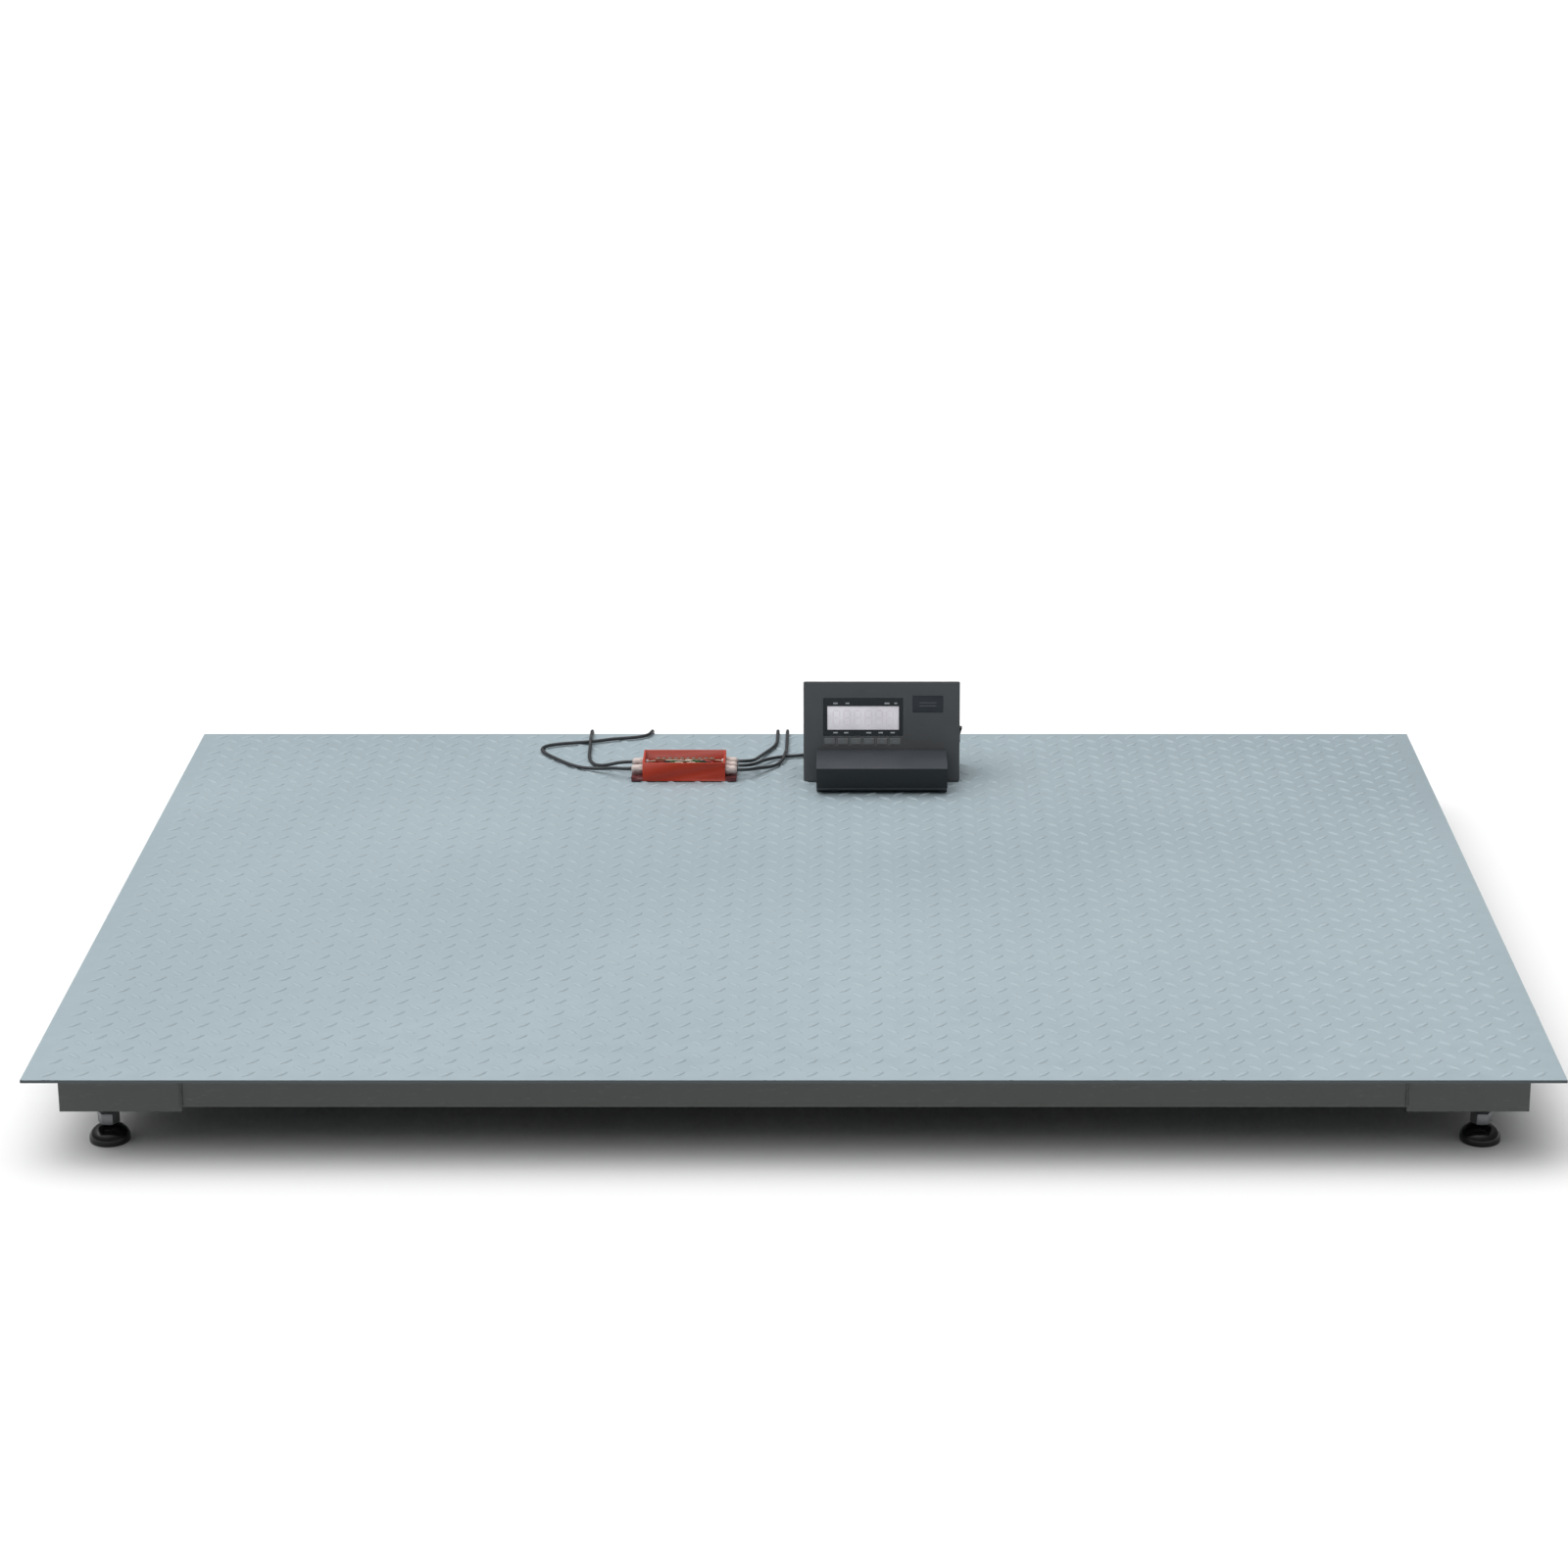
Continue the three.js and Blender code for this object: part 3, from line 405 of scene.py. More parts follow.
def glowing(name, colour):
    """The pale sheet of a display with a weak backlight that is a little uneven."""
    finish = Finish(name, colour, Roughness=0.25, Emission_Strength=LCD_GLOW)
    glow = finish.mix(finish.noise(30, 1).ramp(0.35, 0.65), shade(colour, 0.88), colour)
    finish.set("Base Color", glow)
    finish.set("Emission Color", glow)
    return finish.material


cell_steel = metal("load_cell_nickel", srgb(196, 198, 200), 0.28, (12, 1, 1))
# Zinc plate in a grey far darker than bright zinc: painted shade for the shade under the platform, where
# the feet's stems stand.
zinc_steel = metal("zinc_plate", srgb(122, 124, 126), 0.3)
foot_black = plastic("foot_black", srgb(24, 24, 25), 0.2, grain=500, depth=0.02 * MM)
case_plastic = plastic("case_charcoal", srgb(84, 86, 88), 0.5)
chin_plastic = plastic("chin_panel", srgb(58, 62, 67), 0.5)
# Near-black plastic for the chin's front faces: painted shade for the shadow under the chin.
chin_front_shade_plastic = plastic("case_skirt", srgb(30, 34, 38), 0.55)
band_plastic = plastic("key_band", srgb(112, 114, 116), 0.55)
key_plastic = plastic("key_grey", srgb(118, 120, 122), 0.5)
key_print = plastic("key_print", srgb(136, 139, 142), 0.5, depth=0)
window_black = plastic("window_print", srgb(26, 28, 32), 0.22, grain=200, depth=0)
mark_white = plastic("printed_mark", srgb(176, 180, 186), 0.5, depth=0)
lcd_pale = glowing("lcd_glass", srgb(226, 222, 228))
lcd_ghost = glowing("lcd_segment", srgb(217, 208, 216))
label_grey = plastic("label_grey", srgb(46, 50, 57), 0.4, depth=0)
label_print = plastic("label_print", srgb(104, 108, 114), 0.4, depth=0)
black_plastic = plastic("black_plastic", srgb(34, 35, 37), 0.45)
battery_grey = plastic("battery_grey", srgb(48, 51, 57), 0.55)
board_green = plastic("board_green", srgb(52, 74, 46), 0.45, grain=300)
terminal_brown = plastic("terminal_brown", srgb(134, 74, 50), 0.45)
gland_pale = plastic("gland_nylon", srgb(204, 188, 182), 0.45, grain=900)
cable_sheath = plastic("cable_sheath", srgb(44, 46, 49), 0.5, grain=700)
seal_black = plastic("gland_seal", srgb(24, 24, 25), 0.6)
box_orange = plastic("box_orange", srgb(172, 48, 22), 0.42, grain=900)
# A darker copy of the box's orange-red for the ears: painted shade for the shade that falls on them.
box_ear_red = plastic("box_ear_red", srgb(96, 40, 42), 0.45, grain=900)
for sheath, line in cables.values():
    sheath.data.materials.append(cable_sheath)
print(len(bpy.data.materials), "finishes")

# %% [markdown]
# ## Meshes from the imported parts
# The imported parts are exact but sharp. On real steel and plastic every edge is a little round, and that
# thin bright line is what makes it look solid. So each part is copied, its loose triangles are joined
# into whole faces, and its edges are bevelled. Weighted normals keep the large faces flat in the light.

# %% Pieces and baked meshes
def add_piece(name, mesh, body, slot, materials, *nodes):
    """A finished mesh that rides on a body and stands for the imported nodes."""
    piece = placed(name, mesh)
    for material in materials:
        mesh.materials.append(material)
    if nodes:
        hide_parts(*nodes)
    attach(piece, body)
    return piece


def mesh_of(bm, name, crease=40):
    """The mesh of a bmesh, shaded smooth across edges that turn by less than the crease."""
    mesh = bpy.data.meshes.new(name)
    bm.to_mesh(mesh)
    bm.free()
    for face in mesh.polygons:
        face.use_smooth = True
    mesh.set_sharp_from_angle(angle=math.radians(crease))
    return mesh


def flat_shaded(mesh):
    """The mesh with normals weighted by area, so that its large faces stay flat."""
    carrier = placed("carrier", mesh)
    carrier.modifiers.new("weighted", "WEIGHTED_NORMAL").keep_sharp = True
    return baked(carrier, mesh.name)


def baked(carrier, name):
    """The carrier's mesh as its modifiers make it. The carrier is deleted."""
    graph = bpy.context.evaluated_depsgraph_get()
    graph.update()
    mesh = bpy.data.meshes.new_from_object(carrier.evaluated_get(graph))
    bpy.data.objects.remove(carrier)
    mesh.name = name
    return mesh


print("pieces can be added")

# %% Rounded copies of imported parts
def whole_faces(node):
    """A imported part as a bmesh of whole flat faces."""
    bm = bmesh.new()
    bm.from_mesh(frame["nodes"][node].data)
    bmesh.ops.remove_doubles(bm, verts=bm.verts, dist=0.005 * MM)
    bmesh.ops.dissolve_limit(bm, angle_limit=math.radians(0.5), verts=bm.verts, edges=bm.edges)
    return bm


def bevelled(bm, width, chosen=None, segments=2, crease=35):
    """Rounds the sharp edges, or only those that the chosen test takes."""
    edges = [
        edge for edge in bm.edges
        if len(edge.link_faces) == 2 and edge.calc_face_angle() > math.radians(crease)
        and (chosen is None or chosen(edge))
    ]
    bmesh.ops.bevel(bm, geom=edges, offset=width, offset_type="OFFSET", segments=segments,
                    profile=0.5, affect="EDGES", clamp_overlap=True)
    return bm


def softened(node, width, segments=2):
    """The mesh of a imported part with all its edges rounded."""
    return flat_shaded(mesh_of(bevelled(whole_faces(node), width, segments=segments), node + "_fine", 50))


print("packed parts can be rounded")

# %% Blocks and turned shapes
def block(low, high, place=Matrix()):
    """A box between two corners, as a bmesh, moved by a matrix."""
    bm = bmesh.new()
    size = Vector(high) - Vector(low)
    centre = (Vector(high) + Vector(low)) / 2
    stretch = Matrix.Translation(centre) @ Matrix.Diagonal((*size, 1))
    bmesh.ops.create_cube(bm, size=1, matrix=place @ stretch)
    return bm


def join(*parts):
    """One bmesh of several, each with the number of its material."""
    whole = bmesh.new()
    for number, bm in parts:
        for face in bm.faces:
            face.material_index = number
        mesh = bpy.data.meshes.new("part")
        bm.to_mesh(mesh)
        bm.free()
        whole.from_mesh(mesh)
        bpy.data.meshes.remove(mesh)
    return whole


def turned(profile, place=Matrix(), sides=48):
    """A profile of (radius, height) points turned round an upright axis, as a bmesh."""
    bm = bmesh.new()
    rings = []
    for radius, height in profile:
        count = sides if radius > 1e-7 else 1
        angles = [2 * math.pi * i / sides for i in range(count)]
        spots = [(radius * math.cos(a), radius * math.sin(a), height) for a in angles]
        rings.append([bm.verts.new(place @ Vector(spot)) for spot in spots])
    for low, high in zip(rings, rings[1:]):
        for i in range(sides):
            corners = [low[i % len(low)], low[(i + 1) % len(low)],
                       high[(i + 1) % len(high)], high[i % len(high)]]
            bm.faces.new(dict.fromkeys(corners))
    bmesh.ops.recalc_face_normals(bm, faces=bm.faces)
    return bm


print("blocks and turned shapes can be joined")

# %% [markdown]
# ## The chequered deck
# Chequered plate is rolled with raised lentils, each at right angles to its neighbours, so that hooves
# and boots grip from every side. That is a rule and not a sculpture: two grids of points half a pitch
# apart, and one lentil turned each way. Geometry Nodes place one small lentil on every point.

# %% One lentil
LUG_PITCH = 43 * MM
LUG_LENGTH = 28 * MM
LUG_WIDTH = 9 * MM
LUG_HEIGHT = 1.4 * MM
LUG_RINGS = [(1, -0.1), (0.86, 0.55), (0.5, 0.95)]  # share of the outline, share of the height


def lentil():
    """A low lens with pointed ends, made of three rings and a crown."""
    bm = bmesh.new()
    turns = [2 * math.pi * i / 8 for i in range(8)]
    outline = [
        (LUG_LENGTH / 2 * math.cos(a), LUG_WIDTH / 2 * math.sin(a) * abs(math.sin(a))**0.35)
        for a in turns
    ]
    rings = [
        [bm.verts.new((x * share, y * share, LUG_HEIGHT * height)) for x, y in outline]
        for share, height in LUG_RINGS
    ]
    for low, high in zip(rings, rings[1:]):
        for i in range(8):
            bm.faces.new((low[i], low[(i + 1) % 8], high[(i + 1) % 8], high[i]))
    crown = bm.verts.new((0, 0, LUG_HEIGHT))
    for i in range(8):
        bm.faces.new((rings[-1][i], rings[-1][(i + 1) % 8], crown))
    return mesh_of(bm, "lentil", 80)


lug = bpy.data.objects.new("lug_pattern", lentil())
print("one lug has", len(lug.data.polygons), "faces")

# %% Helpers for Geometry Nodes
def new_tree(name, inputs):
    """An empty Geometry Nodes tree with a geometry input, named inputs and a geometry output."""
    tree = bpy.data.node_groups.new(name, "GeometryNodeTree")
    tree.interface.new_socket("Geometry", in_out="INPUT", socket_type="NodeSocketGeometry")
    for label, kind in inputs.items():
        tree.interface.new_socket(label, in_out="INPUT", socket_type="NodeSocket" + kind)
    tree.interface.new_socket("Geometry", in_out="OUTPUT", socket_type="NodeSocketGeometry")
    graph = Graph(tree)
    graph.given = tree.nodes.new("NodeGroupInput")
    return graph


def shape_of(graph, label):
    """The mesh of an object given to the tree by name."""
    return graph.node("GeometryNodeObjectInfo", {"Object": graph[label]}, out="Geometry")


def end_tree(graph, geometry, finish):
    """Ends a tree in real geometry with one material."""
    real = graph.node("GeometryNodeRealizeInstances", {0: geometry})
    painted = graph.node("GeometryNodeSetMaterial", {"Geometry": real, "Material": finish})
    end = graph.tree.nodes.new("NodeGroupOutput")
    graph.tree.links.new(painted.socket, end.inputs[0])
    return graph.tree


def joined(graph, *geometries):
    node = graph.tree.nodes.new("GeometryNodeJoinGeometry")
    for geometry in geometries:
        graph.tree.links.new(geometry.socket, node.inputs[0])
    return Output(graph, node.outputs[0])


def run_tree(mesh, tree, values):
    """The plain mesh that a tree makes from a mesh and its named inputs."""
    carrier = placed("carrier", mesh)
    modifier = carrier.modifiers.new("tree", "NODES")
    modifier.node_group = tree
    sockets = {item.name: item.identifier for item in tree.interface.items_tree if item.in_out == "INPUT"}
    for label, value in values.items():
        modifier[sockets[label]] = value
    return baked(carrier, mesh.name)


print("trees can be built and run")

# %% The plate's tree
def lug_tree():
    graph = new_tree("chequered_plate", {
        "Lug": "Object", "Length": "Float", "Width": "Float", "Pitch": "Float", "Margin": "Float",
        "Height": "Float", "Enamel": "Material"})
    pitch = graph["Pitch"]
    columns = ((graph["Length"] - 2 * graph["Margin"]) / pitch).whole()
    rows = ((graph["Width"] - 2 * graph["Margin"]) / pitch).whole()
    shape = shape_of(graph, "Lug")

    def field(across, along, turn):
        grid = graph.node("GeometryNodeMeshGrid", {
            "Size X": across * pitch, "Size Y": along * pitch,
            "Vertices X": across + 1, "Vertices Y": along + 1})
        return graph.node("GeometryNodeInstanceOnPoints", {
            "Points": grid, "Instance": shape, "Rotation": (0, 0, math.radians(turn))})

    lugs = joined(graph, field(columns, rows, 45), field(columns - 1, rows - 1, -45))
    lift = graph.node("ShaderNodeCombineXYZ", {"Z": graph["Height"]})
    lifted = graph.node("GeometryNodeTransform", {"Geometry": lugs, "Translation": lift})
    return end_tree(graph, joined(graph, graph["Geometry"], lifted), graph["Enamel"])


chequered = lug_tree()
print("tree", chequered.name, "has", len(chequered.nodes), "nodes")

# %% The deck plate
deck_low, deck_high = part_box("deck_plate")
sheet = bevelled(block(deck_low, (deck_high.x, deck_high.y, PLATE_FLAT)), 0.8 * MM)
deck_mesh = run_tree(mesh_of(sheet, "chequered_deck"), chequered, {
    "Lug": lug, "Length": deck_high.x - deck_low.x, "Width": deck_high.y - deck_low.y,
    "Pitch": LUG_PITCH, "Margin": 16 * MM, "Height": PLATE_FLAT, "Enamel": deck_paint})
add_piece("chequered_deck", deck_mesh, "platform", "deck_paint", [edge_paint], "deck_plate")
edge_number = deck_mesh.materials.find(edge_paint.name)
for face in deck_mesh.polygons:
    if face.center.z < PLATE_FLAT - 0.3 * MM and face.normal.z < 0.5:
        face.material_index = edge_number
print("deck:", len(deck_mesh.polygons), "faces,", len(deck_mesh.materials), "materials")

# %% [markdown]
# ## The frame
# Rolled channel has soft corners where the rolls bent it, and the corner housings are folded and welded.
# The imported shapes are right, so a bevel of a millimetre or so is all that they need. Load cells are
# milled from bar and plated, with crisp edges, so theirs is finer.

# %% Beams, ribs, corners, cells and bolts
for node in ["front_beam", "rear_beam", "left_beam", "right_beam", "left_rib", "middle_rib", "right_rib"]:
    add_piece(node + "_channel", softened(node, 1.2 * MM), "platform", "frame_paint", [frame_paint], node)
for corner in CORNERS:
    node = "corner_" + corner
    add_piece(node + "_housing", softened(node, 0.9 * MM), "platform", "frame_paint", [frame_paint], node)
    node = "load_cell_" + corner
    add_piece(node + "_bar", softened(node, 0.5 * MM), "platform", "cell_steel", [cell_steel], node)
    for number in (1, 2):
        node = f"cell_bolt_{corner}_{number}"
        add_piece(node + "_fine", softened(node, 0.5 * MM), "platform", "zinc_steel", [zinc_steel], node)
print("frame pieces made")

# %% [markdown]
# ## Weld seams
# Each beam is welded to its corner housings, and a weld is a row of overlapping ripples, one for each
# drop of molten steel. Geometry Nodes walk each seam's line in equal steps and set a ripple on every
# step, a little larger or smaller by a seeded random number. The same enamel covers the seam.

# %% Ripples along the seams
WELD_RADIUS = 2.2 * MM
WELD_STEP = 1.6 * MM
WELD_SEED = 5


def ripple():
    """One frozen drop: a small lens, half of which sinks into the steel."""
    bm = bmesh.new()
    bmesh.ops.create_uvsphere(bm, u_segments=14, v_segments=8, radius=WELD_RADIUS)
    bmesh.ops.scale(bm, vec=(1, 1, 0.85), verts=bm.verts)
    return mesh_of(bm, "ripple", 60)


def weld_tree():
    graph = new_tree("weld_seam", {
        "Ripple": "Object", "Step": "Float", "Smallest": "Float", "Largest": "Float", "Seed": "Int",
        "Enamel": "Material"})
    shape = shape_of(graph, "Ripple")
    line = graph.node("GeometryNodeMeshToCurve", {"Mesh": graph["Geometry"]})
    steps = graph.node("GeometryNodeResampleCurve", {"Curve": line, "Length": graph["Step"]}, mode="LENGTH")
    size = graph.node("FunctionNodeRandomValue", {
        2: graph["Smallest"], 3: graph["Largest"], 8: graph["Seed"]}, out=1, data_type="FLOAT")
    drops = graph.node("GeometryNodeInstanceOnPoints", {
        "Points": steps, "Instance": shape, "Scale": size})
    return end_tree(graph, drops, graph["Enamel"])


def seam_lines():
    """A mesh of upright edges, where the beams' outer faces meet the corner housings."""
    long_low, long_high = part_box("front_beam")
    short_low, short_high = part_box("left_beam")
    feet = [(x, y) for x in (long_low.x, long_high.x) for y in (long_low.y, -long_low.y)]
    feet += [(x, y) for x in (short_low.x, -short_low.x) for y in (short_low.y, short_high.y)]
    ends = [(x, y, z) for x, y in feet for z in (long_low.z + 3 * MM, long_high.z - 3 * MM)]
    mesh = bpy.data.meshes.new("weld_seams")
    mesh.from_pydata(ends, [(i, i + 1) for i in range(0, len(ends), 2)], [])
    return mesh


drop = bpy.data.objects.new("ripple_pattern", ripple())
welds = run_tree(seam_lines(), weld_tree(), {
    "Ripple": drop, "Step": WELD_STEP, "Smallest": 0.85, "Largest": 1.15, "Seed": WELD_SEED,
    "Enamel": frame_paint})
add_piece("weld_seams", welds, "platform", "frame_paint", [])
print("welds:", len(welds.polygons), "faces")

# %% [markdown]
# ## Levelling feet
# A foot is a dome of black rubber-faced steel with a ball socket, and a zinc-plated stem: ball, neck,
# spanner hexagon and thread. Both are turned shapes, so each is a profile spun round the foot's own axis.
# The thread is a true helix: its rows climb one pitch in a turn and meet themselves at the seam.

# %% The dome of a foot
LIP_RADIUS = 9.2 * MM
SKIRT = 5 * MM  # the upright part of the dome


def dome(corner):
    """The base: a chamfered foot, a full dome and a rolled lip round the socket."""
    low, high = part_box("foot_base_" + corner)
    centre = (low + high) / 2
    radius = (high.x - low.x) / 2
    height = high.z - low.z
    curve = [
        (radius * math.cos(a)**0.8, SKIRT + (height - SKIRT) * math.sin(a))
        for a in [math.radians(4 + 66 * i / 12) for i in range(13)]
    ]
    lip = LIP_RADIUS
    profile = [
        (0, 0), (radius - 1.4 * MM, 0), (radius - 0.5 * MM, 0.5 * MM), (radius, 1.6 * MM),
        (radius, 4 * MM), *[(r, z) for r, z in curve if r > lip + 1 * MM],
        (lip + 0.6 * MM, height - 0.4 * MM), (lip, height), (lip - 1.2 * MM, height - 0.2 * MM),
        (lip - 2.4 * MM, height - 3 * MM), (0, height - 4 * MM),
    ]
    place = Matrix.Translation((centre.x, centre.y, low.z))
    return mesh_of(turned(profile, place, 56), "dome_" + corner, 50)


print("the dome's lip has a radius of", LIP_RADIUS / MM, "mm")

# %% Its thread
THREAD_PITCH = 1.5 * MM
THREAD_DEPTH = 0.9 * MM


def thread(radius, low, high, place, sides=32):
    """A helical thread between two heights, as a bmesh. Its two ends are hidden in collars."""
    bm = bmesh.new()
    rows = int((high - low) / THREAD_PITCH * 2)
    grid = []
    for row in range(rows + 1):
        reach = radius - (row % 2) * THREAD_DEPTH
        ring = []
        for i in range(sides):
            angle = 2 * math.pi * i / sides
            z = low + (row / 2 + i / sides) * THREAD_PITCH
            ring.append(bm.verts.new(place @ Vector((reach * math.cos(angle), reach * math.sin(angle), z))))
        grid.append(ring)
    for row in range(rows):
        for i in range(sides):
            if i + 1 < sides:
                ends = (grid[row][i + 1], grid[row + 1][i + 1])
            elif row + 3 <= rows:
                ends = (grid[row + 2][0], grid[row + 3][0])
            else:
                continue
            bm.faces.new((grid[row][i], ends[0], ends[1], grid[row + 1][i]))
    return bm


print("the thread climbs", THREAD_PITCH / MM, "mm a turn")

# %% Its stem
SHANK_RADIUS = 9 * MM
BALL_RADIUS = 9 * MM
BALL_HEIGHT = 14 * MM  # above the floor, as are the hexagon's two ends
HEX_LOW = 26 * MM
HEX_HIGH = 42 * MM
HEX_CORNER = 11 * MM  # the radius at which the collars meet the hexagon


def stem(corner):
    """Ball, neck and hexagon of the stem, then its thread and its chamfered end."""
    base_low, base_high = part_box("foot_base_" + corner)
    low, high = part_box("foot_stem_" + corner)
    centre = (base_low + base_high) / 2
    place = Matrix.Translation((centre.x, centre.y, 0))
    sphere = [(BALL_RADIUS * math.cos(a), BALL_HEIGHT + BALL_RADIUS * math.sin(a))
              for a in [math.radians(-90 + 142 * i / 14) for i in range(15)]]
    neck = [(5.5 * MM, 22.5 * MM), (5.5 * MM, 25 * MM), (7 * MM, HEX_LOW), (HEX_CORNER, HEX_LOW)]
    core = SHANK_RADIUS - 1 * MM
    collar = [(HEX_CORNER, HEX_HIGH), (SHANK_RADIUS + 1.5 * MM, HEX_HIGH + 0.8 * MM),
              (core, HEX_HIGH + 1.6 * MM)]
    end = [(core, high.z - 1.4 * MM), (core - 1 * MM, high.z), (0, high.z)]
    inner = turned([*sphere, *neck, *collar, *end], place, 32)
    corner_radius = (high.x - low.x) / 2 / math.cos(math.pi / 6)
    middle = Matrix.Translation((0, 0, (HEX_LOW + HEX_HIGH) / 2))
    nut = bmesh.new()
    bmesh.ops.create_cone(nut, cap_ends=True, segments=6, radius1=corner_radius, radius2=corner_radius,
                          depth=HEX_HIGH - HEX_LOW,
                          matrix=place @ middle @ Matrix.Rotation(math.pi / 6, 4, "Z"))
    bevelled(nut, 1.1 * MM, lambda edge: abs(edge.verts[0].co.z - edge.verts[1].co.z) < 1e-6)
    winding = thread(SHANK_RADIUS, HEX_HIGH + 0.8 * MM, high.z - 2.6 * MM, place)
    return mesh_of(join((0, inner), (0, nut), (0, winding)), "stem_" + corner, 40)


print("the shank is", 2 * SHANK_RADIUS / MM, "mm thick")

# %% Four feet
for corner in CORNERS:
    base = add_piece("foot_dome_" + corner, dome(corner), "foot_base_" + corner, "foot_rubber",
                     [foot_black], "foot_base_" + corner)
    add_piece("foot_spindle_" + corner, stem(corner), "foot_stem_" + corner, "zinc_steel",
              [zinc_steel], "foot_stem_" + corner)
print("a dome has", len(base.data.polygons), "faces")

# %% [markdown]
# ## The indicator
# The indicator is two moulded shells. Its face leans back a few degrees, and the lean is read from the
# keys' own joint, so that print, glass and keys all lie in the face's plane. The shells keep the packed
# shape: long outer edges get a generous radius and the small edges of recesses a fine one.

# %% The face's own plane
press = next(joint for joint in frame["joints"] if joint["name"] == "key_1_press")
FACE_IN = Vector(press["axis"]).normalized()
FACE_UP = Vector((1, 0, 0)).cross(FACE_IN)


def face_place(node, depth=0.0, across=0.0, up=0.0):
    """A place in the face's plane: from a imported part's centre, so far in, across and up."""
    low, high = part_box(node)
    spot = (low + high) / 2 + FACE_IN * depth + FACE_UP * up + Vector((across, 0, 0))
    turn = Matrix(((1, 0, 0), FACE_IN, FACE_UP)).transposed().to_4x4()
    return Matrix.Translation(spot) @ turn


def plate(width, height, thickness, place, edge=0.0):
    """A small slab in the face's plane, centred on a place."""
    half = Vector((width, thickness, height)) / 2
    bm = block(-half, half, place)
    return bevelled(bm, edge) if edge else bm


print("the face leans back", round(math.degrees(math.asin(FACE_UP.y)), 1), "degrees")

# %% Shells
def shell(node, width):
    """A moulded shell: its long outer edges are rounded first, then everything small."""
    bm = whole_faces(node)
    low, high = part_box(node)
    outer = (high.x - low.x) / 2

    def long_and_outer(edge):
        ends = [vert.co for vert in edge.verts]
        middle = (low.x + high.x) / 2
        at_side = all(abs(abs(co.x - middle) - outer) < 0.1 * MM for co in ends)
        return at_side and (ends[0] - ends[1]).length > 30 * MM

    bevelled(bm, width, long_and_outer, segments=3)
    bevelled(bm, 0.35 * MM, crease=50)
    return flat_shaded(mesh_of(bm, node + "_shell", 50))


front_shell = shell("indicator_front_case", 2.5 * MM)
add_piece("indicator_front_shell", front_shell, "platform", "case_plastic",
          [case_plastic, chin_front_shade_plastic, band_plastic, chin_plastic], "indicator_front_case")
CHIN_SHADE_NUMBER, BAND_NUMBER, CHIN_NUMBER = 1, 2, 3  # places in the shell's list of materials
NOSE = 14 * MM  # how far back the chin's front faces reach
chin_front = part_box("indicator_front_case")[0].y
key_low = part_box("key_1")[0]
key_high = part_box("key_6")[1]
for face in front_shell.polygons:
    x, y, z = face.center
    faces_front = face.normal.y < -0.5
    # The chin's front faces take the near-black plastic: painted shade.
    if faces_front and y < chin_front + NOSE:
        face.material_index = CHIN_SHADE_NUMBER
    beside = key_low.x - 3 * MM < x < key_high.x + 3 * MM
    in_band = beside and key_low.z - 4 * MM < z < key_high.z + 4 * MM
    if faces_front and in_band and y > key_low.y + 0.8 * MM:
        face.material_index = BAND_NUMBER
    if face.normal.z > 0.2 and z < key_low.z:
        face.material_index = CHIN_NUMBER
add_piece("indicator_rear_shell", shell("indicator_rear_case", 2.5 * MM), "platform",
          "case_plastic", [case_plastic], "indicator_rear_case")
print("the front shell has", len(front_shell.polygons), "faces")

# %% Battery door, rocker and inner parts
RIB_COUNT = 5
RIB_PITCH = 3 * MM
RIB_HALF = 14 * MM


def hatch():
    """The battery door with grip ribs near its top edge."""
    low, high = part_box("battery_door")
    middle = (low.x + high.x) / 2
    parts = [(0, bevelled(whole_faces("battery_door"), 0.6 * MM))]
    for number in range(RIB_COUNT):
        z = high.z - 7 * MM - RIB_PITCH * number
        start = (middle - RIB_HALF, high.y - 0.5 * MM, z - 0.6 * MM)
        end = (middle + RIB_HALF, high.y + 0.7 * MM, z + 0.6 * MM)
        parts.append((0, bevelled(block(start, end), 0.3 * MM)))
    return flat_shaded(mesh_of(join(*parts), "battery_hatch", 50))


add_piece("battery_hatch", hatch(), "battery_door", "case_plastic", [case_plastic], "battery_door")
add_piece("power_rocker_cap", softened("power_switch", 0.8 * MM, 3), "power_switch",
          "black_plastic", [black_plastic], "power_switch")
add_piece("battery_block", softened("battery", 1.5 * MM), "platform", "battery", [battery_grey], "battery")
add_piece("main_circuit_board", softened("main_board", 0.2 * MM), "platform", "board",
          [board_green], "main_board")
print("the battery door has", RIB_COUNT, "ribs")

# %% [markdown]
# ## Screws in the back
# Four screws hold the two shells together. Each is a pan head with a sunk socket, a profile spun round
# its axis, and Geometry Nodes set it on the four corner points of the back.

# %% Rear screws
SCREW_INSET = 12 * MM


def screw_head():
    """A pan head with a round socket and a safety pin in it, standing on the face behind it."""
    profile = [(0, 1 * MM), (0.5 * MM, 1 * MM), (0.6 * MM, 0.5 * MM), (1.6 * MM, 0.5 * MM),
               (1.7 * MM, 1.7 * MM), (2.6 * MM, 1.6 * MM), (3.3 * MM, 1 * MM), (3.6 * MM, 0.2 * MM),
               (3.6 * MM, -0.6 * MM), (0, -0.6 * MM)]
    return mesh_of(turned(profile, Matrix.Rotation(-math.pi / 2, 4, "X"), 24), "screw_head", 40)


def screw_tree():
    graph = new_tree("screws", {"Screw": "Object", "Steel": "Material"})
    shape = shape_of(graph, "Screw")
    heads = graph.node("GeometryNodeInstanceOnPoints", {
        "Points": graph["Geometry"], "Instance": shape})
    return end_tree(graph, heads, graph["Steel"])


